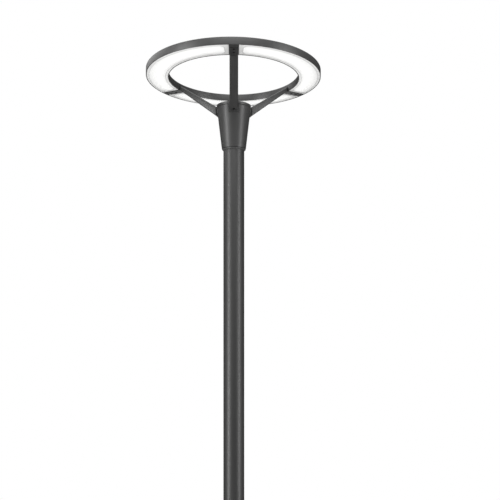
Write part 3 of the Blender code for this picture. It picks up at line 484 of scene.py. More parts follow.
def key_screw(name, head, rise, shank, length, key_sides, key):
    """A screw that stands head up on the origin: domed head with a key recess, and a plain shank below."""
    dome = [
        (shank / 2 * 0.55, -length, 0),
        (shank / 2, -length, shank * 0.12),
        (shank / 2, 0, 0),
        (head / 2, 0, rise * 0.12),
        (head / 2, rise, rise * 0.7),
        (head / 5, rise, 0),
    ]
    screw = turned(name, rounded(dome, 5), SCREW_SIDES, ring=False)
    middle = (0, 0, rise * KEY_MIDDLE)
    bpy.ops.object.select_all(action="DESELECT")
    bpy.ops.mesh.primitive_cylinder_add(vertices=key_sides, radius=key / 2, depth=rise, location=middle)
    return combine(screw, "DIFFERENCE", started("recess"))


def facing(direction, place):
    """Carries a piece that points up from the origin to a place, pointing in a direction."""
    return Matrix.Translation(place) @ Vector(direction).to_track_quat("Z", "Y").to_matrix().to_4x4()


def dress(material, *nodes):
    """Gives CAD nodes that keep their shape a finished material."""
    for node in nodes:
        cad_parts[node].data.materials.clear()
        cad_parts[node].data.materials.append(material)


door_corners = [
    (POLE_RADIUS, below, 0),
    (POLE_RADIUS, above, 0),
    (POLE_BORE, above, 0),
    (POLE_BORE, below, 0),
]
door = turned("inspection_door", rounded(door_corners), POLE_SIDES)
blank = round_ended(
    "door_blank",
    OPENING_WIDTH - 2 * DOOR_PLAY,
    OPENING_HEIGHT - 2 * DOOR_PLAY,
    DOOR_CENTRE,
    -2 * POLE_RADIUS,
    -POLE_BORE / 3,
)
combine(door, "INTERSECT", blank)
screw_low, screw_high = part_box("door_screw")
door_hole = rod("door_hole", DOOR_SCREW_HOLE, 0, POLE_RADIUS)
door_hole.data.transform(facing((0, -1, 0), (0, -POLE_BORE / 2, DOOR_CENTRE)))
combine(door, "DIFFERENCE", door_hole)
ease_edges(door, DOOR_EDGE)
fit(door, tube_coat, "door", ["door_panel"])

screw_steel = stainless("screw_steel", STEEL_LIGHT, STEEL_DARK)
door_key = key_screw(
    "door_key_screw",
    screw_high.x - screw_low.x,
    DOOR_SCREW_RISE,
    DOOR_SCREW,
    screw_high.y - screw_low.y - DOOR_SCREW_RISE,
    3,
    DOOR_KEY * (screw_high.x - screw_low.x),
)
door_key.data.transform(facing((0, -1, 0), (0, screw_low.y + DOOR_SCREW_RISE, DOOR_CENTRE)))
fit(door_key, screw_steel, "door_key", ["door_screw"])

seal_rubber = rubber("seal_rubber")
dress(seal_rubber, "door_seal", "cap_seal", "diffuser_seal_right", "diffuser_seal_rear", "diffuser_seal_left")
dress(screw_steel, "driver_screw_right", "driver_screw_left")

# Gear behind the door: a galvanised bridge that the key screw bites in, and a galvanised rail with the earth
# bolt and the moulded fuse block, whose carrier tilts. The supply cable climbs from there to the head.
ZINC_DARK = (0.33, 0.34, 0.35, 1)
ZINC_LIGHT = (0.56, 0.57, 0.58, 1)
SHEATH_DARK = (0.020, 0.020, 0.021, 1)
SHEATH_LIGHT = (0.038, 0.038, 0.038, 1)
GREY_DARK = (0.34, 0.35, 0.36, 1)
GREY_LIGHT = (0.42, 0.43, 0.44, 1)
RED_DARK = (0.40, 0.040, 0.025, 1)
RED_LIGHT = (0.48, 0.055, 0.032, 1)
BLACK_DARK = (0.022, 0.022, 0.024, 1)
BLACK_LIGHT = (0.034, 0.034, 0.036, 1)


def galvanised(name):
    """Hot-dip zinc: flat crystals of slightly different greys."""
    material, wire = surface(name, {"Metallic": 1.0})
    place = wire.node("ShaderNodeTexCoord", output="Object")
    crystal = wire.node("ShaderNodeTexVoronoi", None, {"Vector": place, "Scale": 1 / (6 * MM)}, "Color")
    shade = wire.node("ShaderNodeSeparateColor", None, {0: crystal})
    shade.colours(ZINC_DARK, ZINC_LIGHT).feeds(material, "Base Color")
    (0.38 + 0.2 * shade).feeds(material, "Roughness")
    dented(wire, material, grain(wire, 1.5 * MM), 0.02 * MM)
    return material


def moulded(name, dark, light, gloss):
    """Moulded plastic: a fine spark-eroded grain and a slow drift of tone."""
    material, wire = surface(name, {"Specular IOR Level": 0.45})
    drift = grain(wire, 22 * MM, detail=3.0).between(0.25, 0.75)
    drift.colours(dark, light).feeds(material, "Base Color")
    skin = grain(wire, 0.6 * MM)
    (gloss - 0.06 + 0.12 * skin).feeds(material, "Roughness")
    dented(wire, material, skin, 0.012 * MM)
    return material


def cable_sheath(name):
    """Extruded cable sheath: dull black with faint drawn lines along it."""
    material, wire = surface(name, {"Specular IOR Level": 0.35})
    drawn = grain(wire, 2 * MM, (1, 1, 0.05))
    drawn.between(0.3, 0.7).colours(SHEATH_DARK, SHEATH_LIGHT).feeds(material, "Base Color")
    (0.55 + 0.15 * drawn).feeds(material, "Roughness")
    dented(wire, material, drawn, 0.02 * MM)
    return material


zinc = galvanised("zinc")
grey_moulding = moulded("grey_moulding", GREY_DARK, GREY_LIGHT, 0.5)
red_moulding = moulded("red_moulding", RED_DARK, RED_LIGHT, 0.4)
black_moulding = moulded("black_moulding", BLACK_DARK, BLACK_LIGHT, 0.5)
sheath = cable_sheath("sheath")
dress(black_moulding, "led_driver", "cable_gland", "lead_plug_front", "lead_plug_right", "lead_plug_left")
dress(sheath, "pole_cable", "arm_lead_front", "arm_lead_right", "arm_lead_left")

RAIL_SLOT = (7 * MM, 22 * MM)
RAIL_SLOT_GAP = 30 * MM
RAIL_EDGE = 0.5 * MM
BRIDGE_ROUND = 4 * MM
BRIDGE_EDGE = 0.4 * MM
BRIDGE_NUT = (12 * MM, 5 * MM)  # across its corners, and its height
NUT_SUNK = 0.5 * MM
EARTH_HEAD = 13 * MM
EARTH_HEAD_RISE = 5.3 * MM
EARTH_WASHER = (16 * MM, 1.4 * MM)
FUSE_DEPTH = 24 * MM
FUSE_ROUND = 1.6 * MM
FUSE_GROOVE = (1.4 * MM, 0.6 * MM)  # height and depth
FUSE_GROOVES = 4
FUSE_BACK = 3 * MM  # left plain behind the grooves
EAR = 4 * MM
EAR_PLAY = 0.3 * MM
EAR_ROUND = 1.5 * MM
LEVER_WIDTH = 14 * MM
LEVER_DEPTH = 9 * MM
LEVER_RISE = 32 * MM
LEVER_ROUND = 1.2 * MM
LEVER_PIN = 4 * MM
LEVER_GRIP = 3 * MM
LEVER_GRIP_OUT = 0.6 * MM  # of the middle of a grip groove, off the lever's face
TERMINAL = 7 * MM
TERMINAL_SINK = 5 * MM
TERMINAL_SPACING = 15 * MM
TERMINAL_EDGE = 8.4 * MM  # from the block's ends
TERMINAL_HEAD = 5.6 * MM
TERMINAL_RISE = 2 * MM
TERMINAL_SHANK = 2.8 * MM
TERMINAL_KEY = 2.94 * MM


def across(name, diameter, length, place):
    """A round bar along X, about a place."""
    bar = rod(name, diameter, -length / 2, length / 2)
    bar.data.transform(facing((1, 0, 0), place))
    return bar


def any_edge(edge):
    """A test that every edge passes."""
    return True


rail_low, rail_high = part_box("mounting_rail")
rail = round_edges(block("rail", rail_low, rail_high), any_edge, RAIL_EDGE, 2)
front = rail_low.y - RAIL_SLOT_GAP
back = rail_high.y + RAIL_SLOT_GAP
for at in (rail_low.z + RAIL_SLOT_GAP, rail_high.z - RAIL_SLOT_GAP, rail_high.z - 2 * RAIL_SLOT_GAP):
    combine(rail, "DIFFERENCE", round_ended("rail_slot", *RAIL_SLOT, at, front, back))
fit(rail, zinc, "post", ["mounting_rail"])

bridge_low, bridge_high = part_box("door_bridge")
bridge = block("bridge", bridge_low, bridge_high)
round_edges(bridge, runs_along(1), BRIDGE_ROUND, 5)
nut_width, nut_height = BRIDGE_NUT
nut_corners = [
    (DOOR_SCREW_HOLE / 2, 0, 0),
    (nut_width / 2, 0, 0),
    (nut_width / 2, nut_height, 0.6 * MM),
    (DOOR_SCREW_HOLE / 2, nut_height, 0.3 * MM),
]
nut = turned("bridge_nut", rounded(nut_corners, 3), 6)
nut.data.transform(facing((0, 1, 0), (0, bridge_high.y - NUT_SUNK, DOOR_CENTRE)))
thread = rod("thread", DOOR_SCREW_HOLE, 0, POLE_RADIUS)
thread.data.transform(facing((0, -1, 0), (0, 0, DOOR_CENTRE)))
combine(combine(bridge, "DIFFERENCE", thread), "UNION", nut)
ease_edges(bridge, BRIDGE_EDGE)
fit(bridge, zinc, "post", ["door_bridge"])

bolt_low, bolt_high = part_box("earth_bolt")
washer_width, washer_height = EARTH_WASHER
earth_corners = [
    (EARTH_HEAD / 4, washer_height, 0),
    (EARTH_HEAD / 2, washer_height, 0),
    (EARTH_HEAD / 2, EARTH_HEAD_RISE, 0.9 * MM),
    (EARTH_HEAD / 4, EARTH_HEAD_RISE, 0),
]
earth = turned("earth_hexagon", rounded(earth_corners, 3), 6, ring=False)
washer_corners = [
    (EARTH_HEAD / 4, 0, 0),
    (washer_width / 2, 0, 0.3 * MM),
    (washer_width / 2, washer_height + 0.1 * MM, 0.3 * MM),
    (EARTH_HEAD / 4, washer_height + 0.1 * MM, 0),
]
combine(earth, "UNION", turned("earth_washer", rounded(washer_corners, 3), SCREW_SIDES, ring=False))
earth.data.transform(facing((0, -1, 0), (0, bolt_low.y + EARTH_HEAD_RISE, (bolt_low.z + bolt_high.z) / 2)))
fit(earth, screw_steel, "post", ["earth_bolt"])

fuse_low, fuse_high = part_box("fuse_block")
lever_low, lever_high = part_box("fuse_lever")
pivot = Vector((0, (lever_low.y + lever_high.y) / 2, lever_high.z - LEVER_RISE))
fuse_face = fuse_high.y - FUSE_DEPTH
fuse = block("fuse_base", (fuse_low.x, fuse_face, fuse_low.z), fuse_high)
round_edges(fuse, any_edge, FUSE_ROUND, 3)
ears = []
for side in (-1, 1):
    edges = sorted(side * (LEVER_WIDTH / 2 + EAR_PLAY + thick) for thick in (0, EAR))
    low = (edges[0], fuse_low.y, pivot.z - EAR)
    ear = block("ear", low, (edges[1], fuse_face + EAR, pivot.z + EAR))
    ears.append(round_edges(ear, runs_along(0), EAR_ROUND, 4))
combine(fuse, "UNION", *ears)
wells = []
terminals = []
for height in (fuse_low.z + TERMINAL_EDGE, fuse_high.z - TERMINAL_EDGE):
    for side in (-1, 1):
        well = rod("well", TERMINAL, 0, TERMINAL)
        place = (side * TERMINAL_SPACING / 2, fuse_face + TERMINAL_SINK, height)
        well.data.transform(facing((0, -1, 0), place))
        wells.append(well)
        size = (TERMINAL_HEAD, TERMINAL_RISE, TERMINAL_SHANK, TERMINAL_RISE)
        terminal = key_screw("terminal", *size, 4, TERMINAL_KEY)
        terminal.data.transform(facing((0, -1, 0), place))
        terminals.append(terminal)
groove_height, groove_depth = FUSE_GROOVE
for side in (-1, 1):
    for step in range(FUSE_GROOVES):
        height = pivot.z + 2 * EAR + step * 3 * groove_height
        edges = sorted((side * fuse_high.x, side * (fuse_high.x - groove_depth)))
        low = (edges[0], fuse_low.y, height)
        wells.append(block("groove", low, (edges[1], fuse_high.y - FUSE_BACK, height + groove_height)))
combine(fuse, "DIFFERENCE", *wells)
fit(fuse, grey_moulding, "post", ["fuse_block"])
for terminal in terminals:
    fit(terminal, screw_steel, "post", [])

lever_foot = pivot - Vector((LEVER_WIDTH / 2, LEVER_DEPTH / 2, 0))
lever = block("lever", lever_foot, lever_foot + Vector((LEVER_WIDTH, LEVER_DEPTH, LEVER_RISE)))
round_edges(lever, any_edge, LEVER_ROUND, 3)
combine(
    lever,
    "UNION",
    across("heel", LEVER_DEPTH, LEVER_WIDTH - 2 * LEVER_ROUND, pivot),
    across("pin", LEVER_PIN, lever_high.x - lever_low.x, pivot),
)
grips = []
for step in range(3):
    height = LEVER_RISE - (1.6 + 1.3 * step) * LEVER_GRIP
    grip = pivot + Vector((0, -LEVER_DEPTH / 2 - LEVER_GRIP_OUT, height))
    grips.append(across("grip", LEVER_GRIP, 2 * LEVER_WIDTH, grip))
combine(lever, "DIFFERENCE", *grips)
fit(lever, red_moulding, "fuse_lever", ["fuse_lever"])

# Collar: tapered aluminium casting that drops over the pole's top and is clamped by three grub screws.
# Three flat seats near its top take the arms; a shelf inside carries the driver.
COLLAR_SIDES = 144
COLLAR_TAPER = (88 * MM, 124 * MM)
COLLAR_WALL = 5 * MM
SOCKET_DEPTH = 92 * MM
SOCKET_PLAY = 0.5 * MM
SHELF = 5.3 * MM
SEAL_SEAT = 8.3 * MM
SEAL_SEAT_RADIUS = POLE_RADIUS + 2.5 * MM
PAD_REACH = 61 * MM
PAD_WIDTH = 44 * MM
PAD_HEIGHT = 23.6 * MM
PAD_ROUND = 3 * MM
PAD_DROP = 8 * MM  # of the seats' upper edge below the collar's full height
PAD_ROOT = 0.8  # where a seat starts inside the collar, as a share of its wall
COLLAR_HEIGHT = 152 * MM  # with the cap, up to the plane that the cap's screw heads sit on
LEAD_HOLE = 12 * MM
GRUB = 8 * MM
GRUB_HOLE = 8.6 * MM
GRUB_RISE = 18 * MM
ARM_TURNS = {"front": -90, "right": 30, "left": 150}
BETWEEN_ARMS = {"rear": 90, "left": 210, "right": 330}
# The castings carry the pole's anthracite made a little lighter. This is painted light that stands in for more
# light on the head.
CASTING_DARK = (0.030, 0.030, 0.0298, 1)
CASTING_LIGHT = (0.038, 0.038, 0.0376, 1)


def cone(height):
    """Radius of the collar at a height above its mouth."""
    foot, top = COLLAR_TAPER
    return (foot + (top - foot) * height / COLLAR_HEIGHT) / 2


mouth, casting_top = (corner.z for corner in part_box("spigot_collar"))
inside = casting_top - mouth
shelf_top = SOCKET_DEPTH + SHELF
cast_coat = powder_coat(
    "cast_coat",
    CASTING_DARK,
    CASTING_LIGHT,
    peel_size=1.6 * MM,
    peel_depth=0.02 * MM,
    streaks=(1, 1, 0.5),
)
corners = [
    (SEAL_SEAT_RADIUS, 0, 0.5 * MM),
    (cone(0), 0, 1 * MM),
    (cone(inside), inside, 0.8 * MM),
    (cone(inside) - COLLAR_WALL, inside, 0),
    (cone(shelf_top) - COLLAR_WALL, shelf_top, 0),
    (LEAD_HOLE / 2, shelf_top, 0),
    (LEAD_HOLE / 2, SOCKET_DEPTH, 0),
    (POLE_RADIUS + SOCKET_PLAY, SOCKET_DEPTH, 0),
    (POLE_RADIUS + SOCKET_PLAY, SEAL_SEAT, 0),
    (SEAL_SEAT_RADIUS, SEAL_SEAT, 0),
]
collar = turned("collar", rounded(corners, 5, mouth), COLLAR_SIDES)
pads = []
pad_top = mouth + COLLAR_HEIGHT - PAD_DROP
root = cone(inside) - COLLAR_WALL * PAD_ROOT
for turn in ARM_TURNS.values():
    pad = block("pad", (root, -PAD_WIDTH / 2, pad_top - PAD_HEIGHT), (PAD_REACH, PAD_WIDTH / 2, pad_top))
    round_edges(pad, lambda edge: runs_along(2)(edge) and edge.verts[0].co.x > root + MM, PAD_ROUND, 4)
    pad.data.transform(about_pole(turn))
    pads.append(pad)
combine(collar, "UNION", *pads)
drills = []
for turn in BETWEEN_ARMS.values():
    drill = rod("drill", GRUB_HOLE, POLE_RADIUS * 0.9, 2 * POLE_RADIUS)
    drill.data.transform(about_pole(turn) @ facing((1, 0, 0), (0, 0, mouth + GRUB_RISE)))
    drills.append(drill)
combine(collar, "DIFFERENCE", *drills)
fit(collar, cast_coat, "head", ["spigot_collar"])


def round_the_pole(first, matrix, turns, nodes, material):
    """Sets a piece modelled once at each of its turns about the pole, every copy with a mesh of its own."""
    for key, turn in turns.items():
        copy = first.copy()
        copy.data = first.data.copy()
        scene.collection.objects.link(copy)
        copy.name = f"{first.name}_{key}"
        copy.data.name = copy.name
        copy.data.transform(about_pole(turn) @ matrix)
        fit(copy, material, "head", [f"{node}_{key}" for node in nodes])
    bpy.data.objects.remove(first)


grub_low, grub_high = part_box("grub_screw_rear")
grub_length = grub_high.y - grub_low.y
grub_corners = [
    (GRUB / 4, 0, 0),
    (GRUB / 2, 0, 1 * MM),
    (GRUB / 2, grub_length, 0.5 * MM),
    (GRUB / 3, grub_length, 0),
]
grub = turned("grub", rounded(grub_corners, 3), SCREW_SIDES, ring=False)
middle = (0, 0, grub_length)
bpy.ops.object.select_all(action="DESELECT")
bpy.ops.mesh.primitive_cylinder_add(vertices=6, radius=GRUB / 4, depth=grub_length, location=middle)
combine(grub, "DIFFERENCE", started("grub_key"))
grub_place = facing((1, 0, 0), (grub_low.y, 0, mouth + GRUB_RISE))
round_the_pole(grub, grub_place, BETWEEN_ARMS, ["grub_screw"], screw_steel)

# Spigot seal: a moulded grey ring pressed into the collar's mouth.
# Under a narrow groove its lip stands out below the mouth and tapers in to the pole.
SEAL_LIP = 7.4 * MM
SEAL_TAPER = 4 * MM
SEAL_LIP_WALL = 4.8 * MM
SEAL_GROOVE = (2.9 * MM, 0.4 * MM)  # its lower edge below the mouth, and the wall left behind it
SEAL_WALL = 1.9 * MM
SEAL_PLAY = 0.3 * MM
SEAL_GREY_DARK = (0.050, 0.050, 0.050, 1)
SEAL_GREY_LIGHT = (0.062, 0.062, 0.061, 1)

seal_bore = POLE_RADIUS + SEAL_PLAY
groove_low, groove_wall = SEAL_GROOVE
corners = [
    (seal_bore, -SEAL_LIP, 0),
    (seal_bore + SEAL_LIP_WALL - SEAL_TAPER, -SEAL_LIP, 0.3 * MM),
    (seal_bore + SEAL_LIP_WALL, SEAL_TAPER - SEAL_LIP, 1.2 * MM),
    (seal_bore + SEAL_LIP_WALL, -groove_low, 0.4 * MM),
    (seal_bore + groove_wall, -groove_low, 0),
    (seal_bore + groove_wall, SEAL_PLAY, 0),
    (seal_bore + SEAL_WALL, SEAL_PLAY, 0.2 * MM),
    (seal_bore + SEAL_WALL, SEAL_SEAT - SEAL_PLAY, 0.2 * MM),
    (seal_bore, SEAL_SEAT - SEAL_PLAY, 0),
]
seal = turned("spigot_ring", rounded(corners, 3, mouth), COLLAR_SIDES)
seal_grey = moulded("seal_grey", SEAL_GREY_DARK, SEAL_GREY_LIGHT, 0.42)
fit(seal, seal_grey, "head", ["spigot_seal"])

# Cap: a low crowned casting on a flat seal, with a thin rim line where it meets the collar.
# Its three screws are sunk below the rim and bite in pillars of the collar.
CAP_THICKNESS = 4 * MM
CAP_RISE = 5 * MM  # of the rim over the plane that the screw heads sit on
CAP_CROWN = 2.5 * MM
CAP_FLAT = 44 * MM
CAP_SLOPE = 6 * MM
CAP_MIDDLE = 4 * MM
CAP_SCREW = 4 * MM
CAP_SCREW_RISE = 2.4 * MM
CAP_SINK = 1.12  # width of the hole over a screw, as a share of the screw's head

cap_top = COLLAR_HEIGHT + CAP_RISE
corners = [
    (CAP_MIDDLE, COLLAR_HEIGHT - CAP_THICKNESS, 0),
    (cone(COLLAR_HEIGHT - CAP_THICKNESS), COLLAR_HEIGHT - CAP_THICKNESS, 0.5 * MM),
    (cone(cap_top), cap_top, 1.5 * MM),
    (CAP_FLAT, cap_top, 2 * MM),
    (CAP_FLAT - CAP_SLOPE, cap_top + CAP_CROWN, 3 * MM),
    (CAP_MIDDLE, cap_top + CAP_CROWN, 0),
]
cap = turned("cap", rounded(corners, 4, mouth), COLLAR_SIDES, ring=False)
low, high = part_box("cap_screw_rear")
head = high.x - low.x
cap_place = Matrix.Translation(((low.y + high.y) / 2, 0, high.z - CAP_SCREW_RISE))
sinks = []
for turn in BETWEEN_ARMS.values():
    sink = rod("sink", head * CAP_SINK, 0, 2 * CAP_RISE)
    sink.data.transform(about_pole(turn) @ cap_place)
    sinks.append(sink)
combine(cap, "DIFFERENCE", *sinks)
fit(cap, cast_coat, "head", ["collar_cap"])
length = high.z - low.z - CAP_SCREW_RISE
cap_screw = key_screw("cap_bolt", head, CAP_SCREW_RISE, CAP_SCREW, length, 6, head / 2)
round_the_pole(cap_screw, cap_place, BETWEEN_ARMS, ["cap_screw"], screw_steel)

# Arms: three tapered aluminium castings with softly rounded edges that rake up from the collar to the ring.
# Each foot is grooved all round and screwed to the collar's seat. The tip is necked at the ring's inner wall
# and runs out in a thin tongue that is screwed under the ring.
RING_RISE = 96 * MM  # underside of the ring above the top of the collar
RING_BORE = 470 * MM
SEAT_GAP = 0.3 * MM
ARM_FOOT_WIDTH = 30.4 * MM
ARM_TIP_WIDTH = 27.6 * MM
ARM_FOOT_LOW = 31 * MM
ARM_FOOT_HIGH = 3.1 * MM
ARM_SETBACK = 2.2 * MM
FOOT_SEAT = 3 * MM
FOOT_SINK = 1.08  # width of the hole over a screw, as a share of the screw's head
FOOT_SCREW = 4 * MM
FOOT_SCREW_RISE = 2.8 * MM
GROOVE_WIDTH = 7.5 * MM  # round the foot
GROOVE_DEPTH = (5 * MM, 2.6 * MM)  # at the foot's sides and below it
ARM_TIP_DEPTH = 17 * MM
ARM_ROUND = 4.5 * MM
ARM_EDGE = 0.6 * MM
NECK_LENGTH = 5 * MM
NECK_INSET = 3 * MM
TONGUE = 1.8 * MM
TONGUE_END = 292 * MM
TONGUE_SCREWS = {"inner": 260 * MM, "outer": 284 * MM}
TONGUE_SCREW = 5 * MM
TONGUE_SCREW_RISE = 1.6 * MM
TONGUE_SINK = (1.06, 0.6 * MM)  # width of a screw's hole, as a share of the head, and how far it goes up
BLACKED_LIGHT = (0.045, 0.045, 0.046, 1)
BLACKED_DARK = (0.018, 0.018, 0.018, 1)

collar_top = mouth + COLLAR_HEIGHT
ring_low = collar_top + RING_RISE
arm_foot = PAD_REACH + SEAT_GAP
arm_tip = RING_BORE / 2 - 2 * SEAT_GAP
foot_low = collar_top - ARM_FOOT_LOW
foot_high = collar_top + ARM_FOOT_HIGH
tongue_low = ring_low - SEAT_GAP - TONGUE
arm = block(
    "arm",
    (arm_foot, -ARM_FOOT_WIDTH / 2, foot_low),
    (arm_tip, ARM_FOOT_WIDTH / 2, foot_high),
)
bpy.ops.object.mode_set(mode="EDIT")
select(arm, "FACE", lambda face: face.normal.x > 0.9)
bpy.ops.transform.translate(value=(0, 0, ring_low - foot_low))
squeeze = (1, ARM_TIP_WIDTH / ARM_FOOT_WIDTH, ARM_TIP_DEPTH / (foot_high - foot_low))
bpy.ops.transform.resize(value=squeeze, center_override=(arm_tip, 0, ring_low))
bpy.ops.object.mode_set(mode="OBJECT")
round_edges(arm, lambda edge: edge.calc_length() > ARM_FOOT_WIDTH * 3, ARM_ROUND, 5)
slope = (ring_low - foot_low) / (arm_tip - arm_foot)
knee = arm_tip - (ring_low - tongue_low) / slope
tongue = block(
    "tongue",
    (knee - TONGUE / 2, -ARM_TIP_WIDTH / 2, tongue_low),
    (TONGUE_END, ARM_TIP_WIDTH / 2, tongue_low + TONGUE),
)
combine(arm, "UNION", tongue)
foot_screw_low, foot_screw_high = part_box("foot_screw_front")
foot_head = foot_screw_high.x - foot_screw_low.x
sink = rod("sink", foot_head * FOOT_SINK, 0, PAD_WIDTH)
screw_height = (foot_screw_low.z + foot_screw_high.z) / 2
sink.data.transform(facing((1, 0, 0), (arm_foot + FOOT_SEAT, 0, screw_height)))
corner = (arm_foot + ARM_SETBACK, ARM_FOOT_WIDTH, foot_high + PAD_HEIGHT)
cuts = [sink, block("step", (0, -ARM_FOOT_WIDTH, pad_top), corner)]
groove_end = arm_foot + GROOVE_WIDTH
groove_side, groove_below = GROOVE_DEPTH
groove_top = foot_low + groove_below + GROOVE_WIDTH * slope
start = (0, -ARM_FOOT_WIDTH, foot_low - PAD_HEIGHT)
cuts.append(block("groove", start, (groove_end, ARM_FOOT_WIDTH, groove_top)))
for side in (-1, 1):
    edges = sorted((side * (ARM_FOOT_WIDTH / 2 - groove_side), side * ARM_FOOT_WIDTH))
    cuts.append(block("groove", (0, edges[0], foot_low), (groove_end, edges[1], foot_high + PAD_HEIGHT)))
    edges = sorted((side * (ARM_TIP_WIDTH / 2 - NECK_INSET), side * ARM_TIP_WIDTH))
    start = (arm_tip - NECK_LENGTH, edges[0], ring_low - SEAT_GAP)
    cuts.append(block("notch", start, (arm_tip + NECK_LENGTH, edges[1], ring_low + 2 * ARM_TIP_DEPTH)))
screw_low, screw_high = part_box("tongue_screw_inner_front")
tongue_head = screw_high.x - screw_low.x
sink_share, sink_up = TONGUE_SINK
for at in TONGUE_SCREWS.values():
    sink = rod("sink", tongue_head * sink_share, 0, TONGUE + sink_up)
    sink.data.transform(Matrix.Translation((at, 0, tongue_low - TONGUE)))
    cuts.append(sink)
combine(arm, "DIFFERENCE", *cuts)
ease_edges(arm, ARM_EDGE)
round_the_pole(arm, Matrix.Identity(4), ARM_TURNS, ["arm"], cast_coat)

black_steel = stainless("black_steel", BLACKED_LIGHT, BLACKED_DARK)
length = screw_high.z - screw_low.z - TONGUE_SCREW_RISE
for part, at in TONGUE_SCREWS.items():
    name = f"tongue_bolt_{part}"
    bolt = key_screw(name, tongue_head, TONGUE_SCREW_RISE, TONGUE_SCREW, length, 6, tongue_head / 2)
    place = facing((0, 0, -1), (at, 0, screw_low.z + TONGUE_SCREW_RISE))
    round_the_pole(bolt, place, ARM_TURNS, [f"tongue_screw_{part}"], black_steel)

length = foot_screw_high.y - foot_screw_low.y - FOOT_SCREW_RISE
bolt = key_screw("foot_bolt", foot_head, FOOT_SCREW_RISE, FOOT_SCREW, length, 6, foot_head / 2)
place = facing((1, 0, 0), (-foot_screw_low.y - FOOT_SCREW_RISE, 0, screw_height))
round_the_pole(bolt, place, ARM_TURNS, ["foot_screw"], black_steel)

# Ring: one slim aluminium channel, open below, with rounded shoulders.
# The light panels lie nearly flush in it.
# A flat bar across the channel at each arm clamps the ends of two panels and takes the arm's screws.
RING_DIAMETER = 628 * MM
RING_SIDES = 288
RING_HEIGHT = 24 * MM
RING_INNER_RISE = 3 * MM
RING_SHOULDER = 2.2 * MM
RIM = 2 * MM
RIM_ROUND = (0.7 * MM, 0.5 * MM)  # at a rim's outside and at its inside
ROOF_ROUND = 1 * MM
LEDGE = 5.2 * MM
LEDGE_RISE = 5.6 * MM
ROOF = 4 * MM
RECESS = 1 * MM
BAR_WIDTH = 31 * MM
BAR_EDGE = 0.4 * MM

outer = RING_DIAMETER / 2
inner = RING_BORE / 2
thick = RIM + LEDGE
round_out, round_in = RIM_ROUND
corners = [
    (outer, 0, round_out),
    (outer, RING_HEIGHT, RING_SHOULDER),
    (inner, RING_HEIGHT + RING_INNER_RISE, RING_SHOULDER),
    (inner, 0, round_out),
    (inner + RIM, 0, round_in),
    (inner + RIM, LEDGE_RISE, 0),
    (inner + thick, LEDGE_RISE, 0),
    (inner + thick, RING_HEIGHT - ROOF, ROOF_ROUND),
    (outer - thick, RING_HEIGHT - ROOF, ROOF_ROUND),
    (outer - thick, LEDGE_RISE, 0),
    (outer - RIM, LEDGE_RISE, 0),
    (outer - RIM, 0, round_in),
]
ring = turned("ring", rounded(corners, 4, ring_low), RING_SIDES)
fit(ring, cast_coat, "head", ["ring_housing"])
bar_end = math.sqrt((outer - RIM - SEAT_GAP) ** 2 - (BAR_WIDTH / 2) ** 2)
bar_top = ring_low + RECESS - SEAT_GAP
bar = block("bar", (inner + RIM + SEAT_GAP, -BAR_WIDTH / 2, ring_low), (bar_end, BAR_WIDTH / 2, bar_top))
ease_edges(bar, BAR_EDGE, steps=3)
round_the_pole(bar, Matrix.Identity(4), ARM_TURNS, ["ring_bridge"], cast_coat)

# Light panels: three curved trays of opal acrylic that lie in the ring, a flat flange round a dropped pan.
# The boards behind light the pan white, and the flange stays greyer. A grey line round the pan's edge is
# painted shade for the pan's sloping wall. The darkening at the ends is partly the boards' light falling off
# and partly painted shade for the end walls.
# Joints between the boards show faintly.
BAY = 120.0  # degrees from arm to arm
BAY_END = 3.0  # degrees left free for the bar at each end
PANEL_STEPS = 76
FLANGE = 2 * MM
FLANGE_WIDTH = 9 * MM
PAN_SLOPE = 1.5 * MM
PAN_DROP = 0.7 * MM
PANEL_PLAY = 0.5 * MM
PANEL_EDGE = 0.5 * MM
BAY_TURNS = {"right": -90, "rear": 30, "left": 150}
PAN_CORNER = 16 * MM
PAN_END = 5 * MM  # more flange at the ends than along the sides
OPAL = (0.62, 0.62, 0.615, 1)
GLOW_WHITE = (1.0, 1.0, 0.99, 1)
GLOW_NONE = (0, 0, 0, 1)
FLANGE_GLOW = 0.18
PAN_GLOW = (0.14, 0.12)  # more than the flange at the pan's edge, and more again in its middle
# Painted shade: a grey line round the pan's edge, for the shade on its sloping wall.
PAN_EDGE_PAINTED_SHADE = 0.11
JOINT_SHADE = 0.06
MASK_DARK = (0.78, 0.79, 0.77, 1)
MASK_LIGHT = (0.86, 0.87, 0.85, 1)
# Painted shade at a panel's ends for its shaded end walls, added to the boards' light falling off there.
PAN_END_PAINTED_SHADE = 0.10
PAN_END_SHADE_FADE = (-6 * MM, 24 * MM)  # darkest and full light near a panel's end, measured from its pan's edge
PAN_FADE = 20 * MM  # from the pan's long edges to its brightest light
PAN_STEP = 3 * MM  # over which the light comes up at the pan's edge
PAN_EDGE_SHADE_LINE = (0.6 * MM, 2.6 * MM)  # half width of the line round the pan, and where it has faded out
JOINT_LINE = (0.8 * MM, 3 * MM)  # the same for the joints between boards
BOARDS = 3  # end to end behind each panel


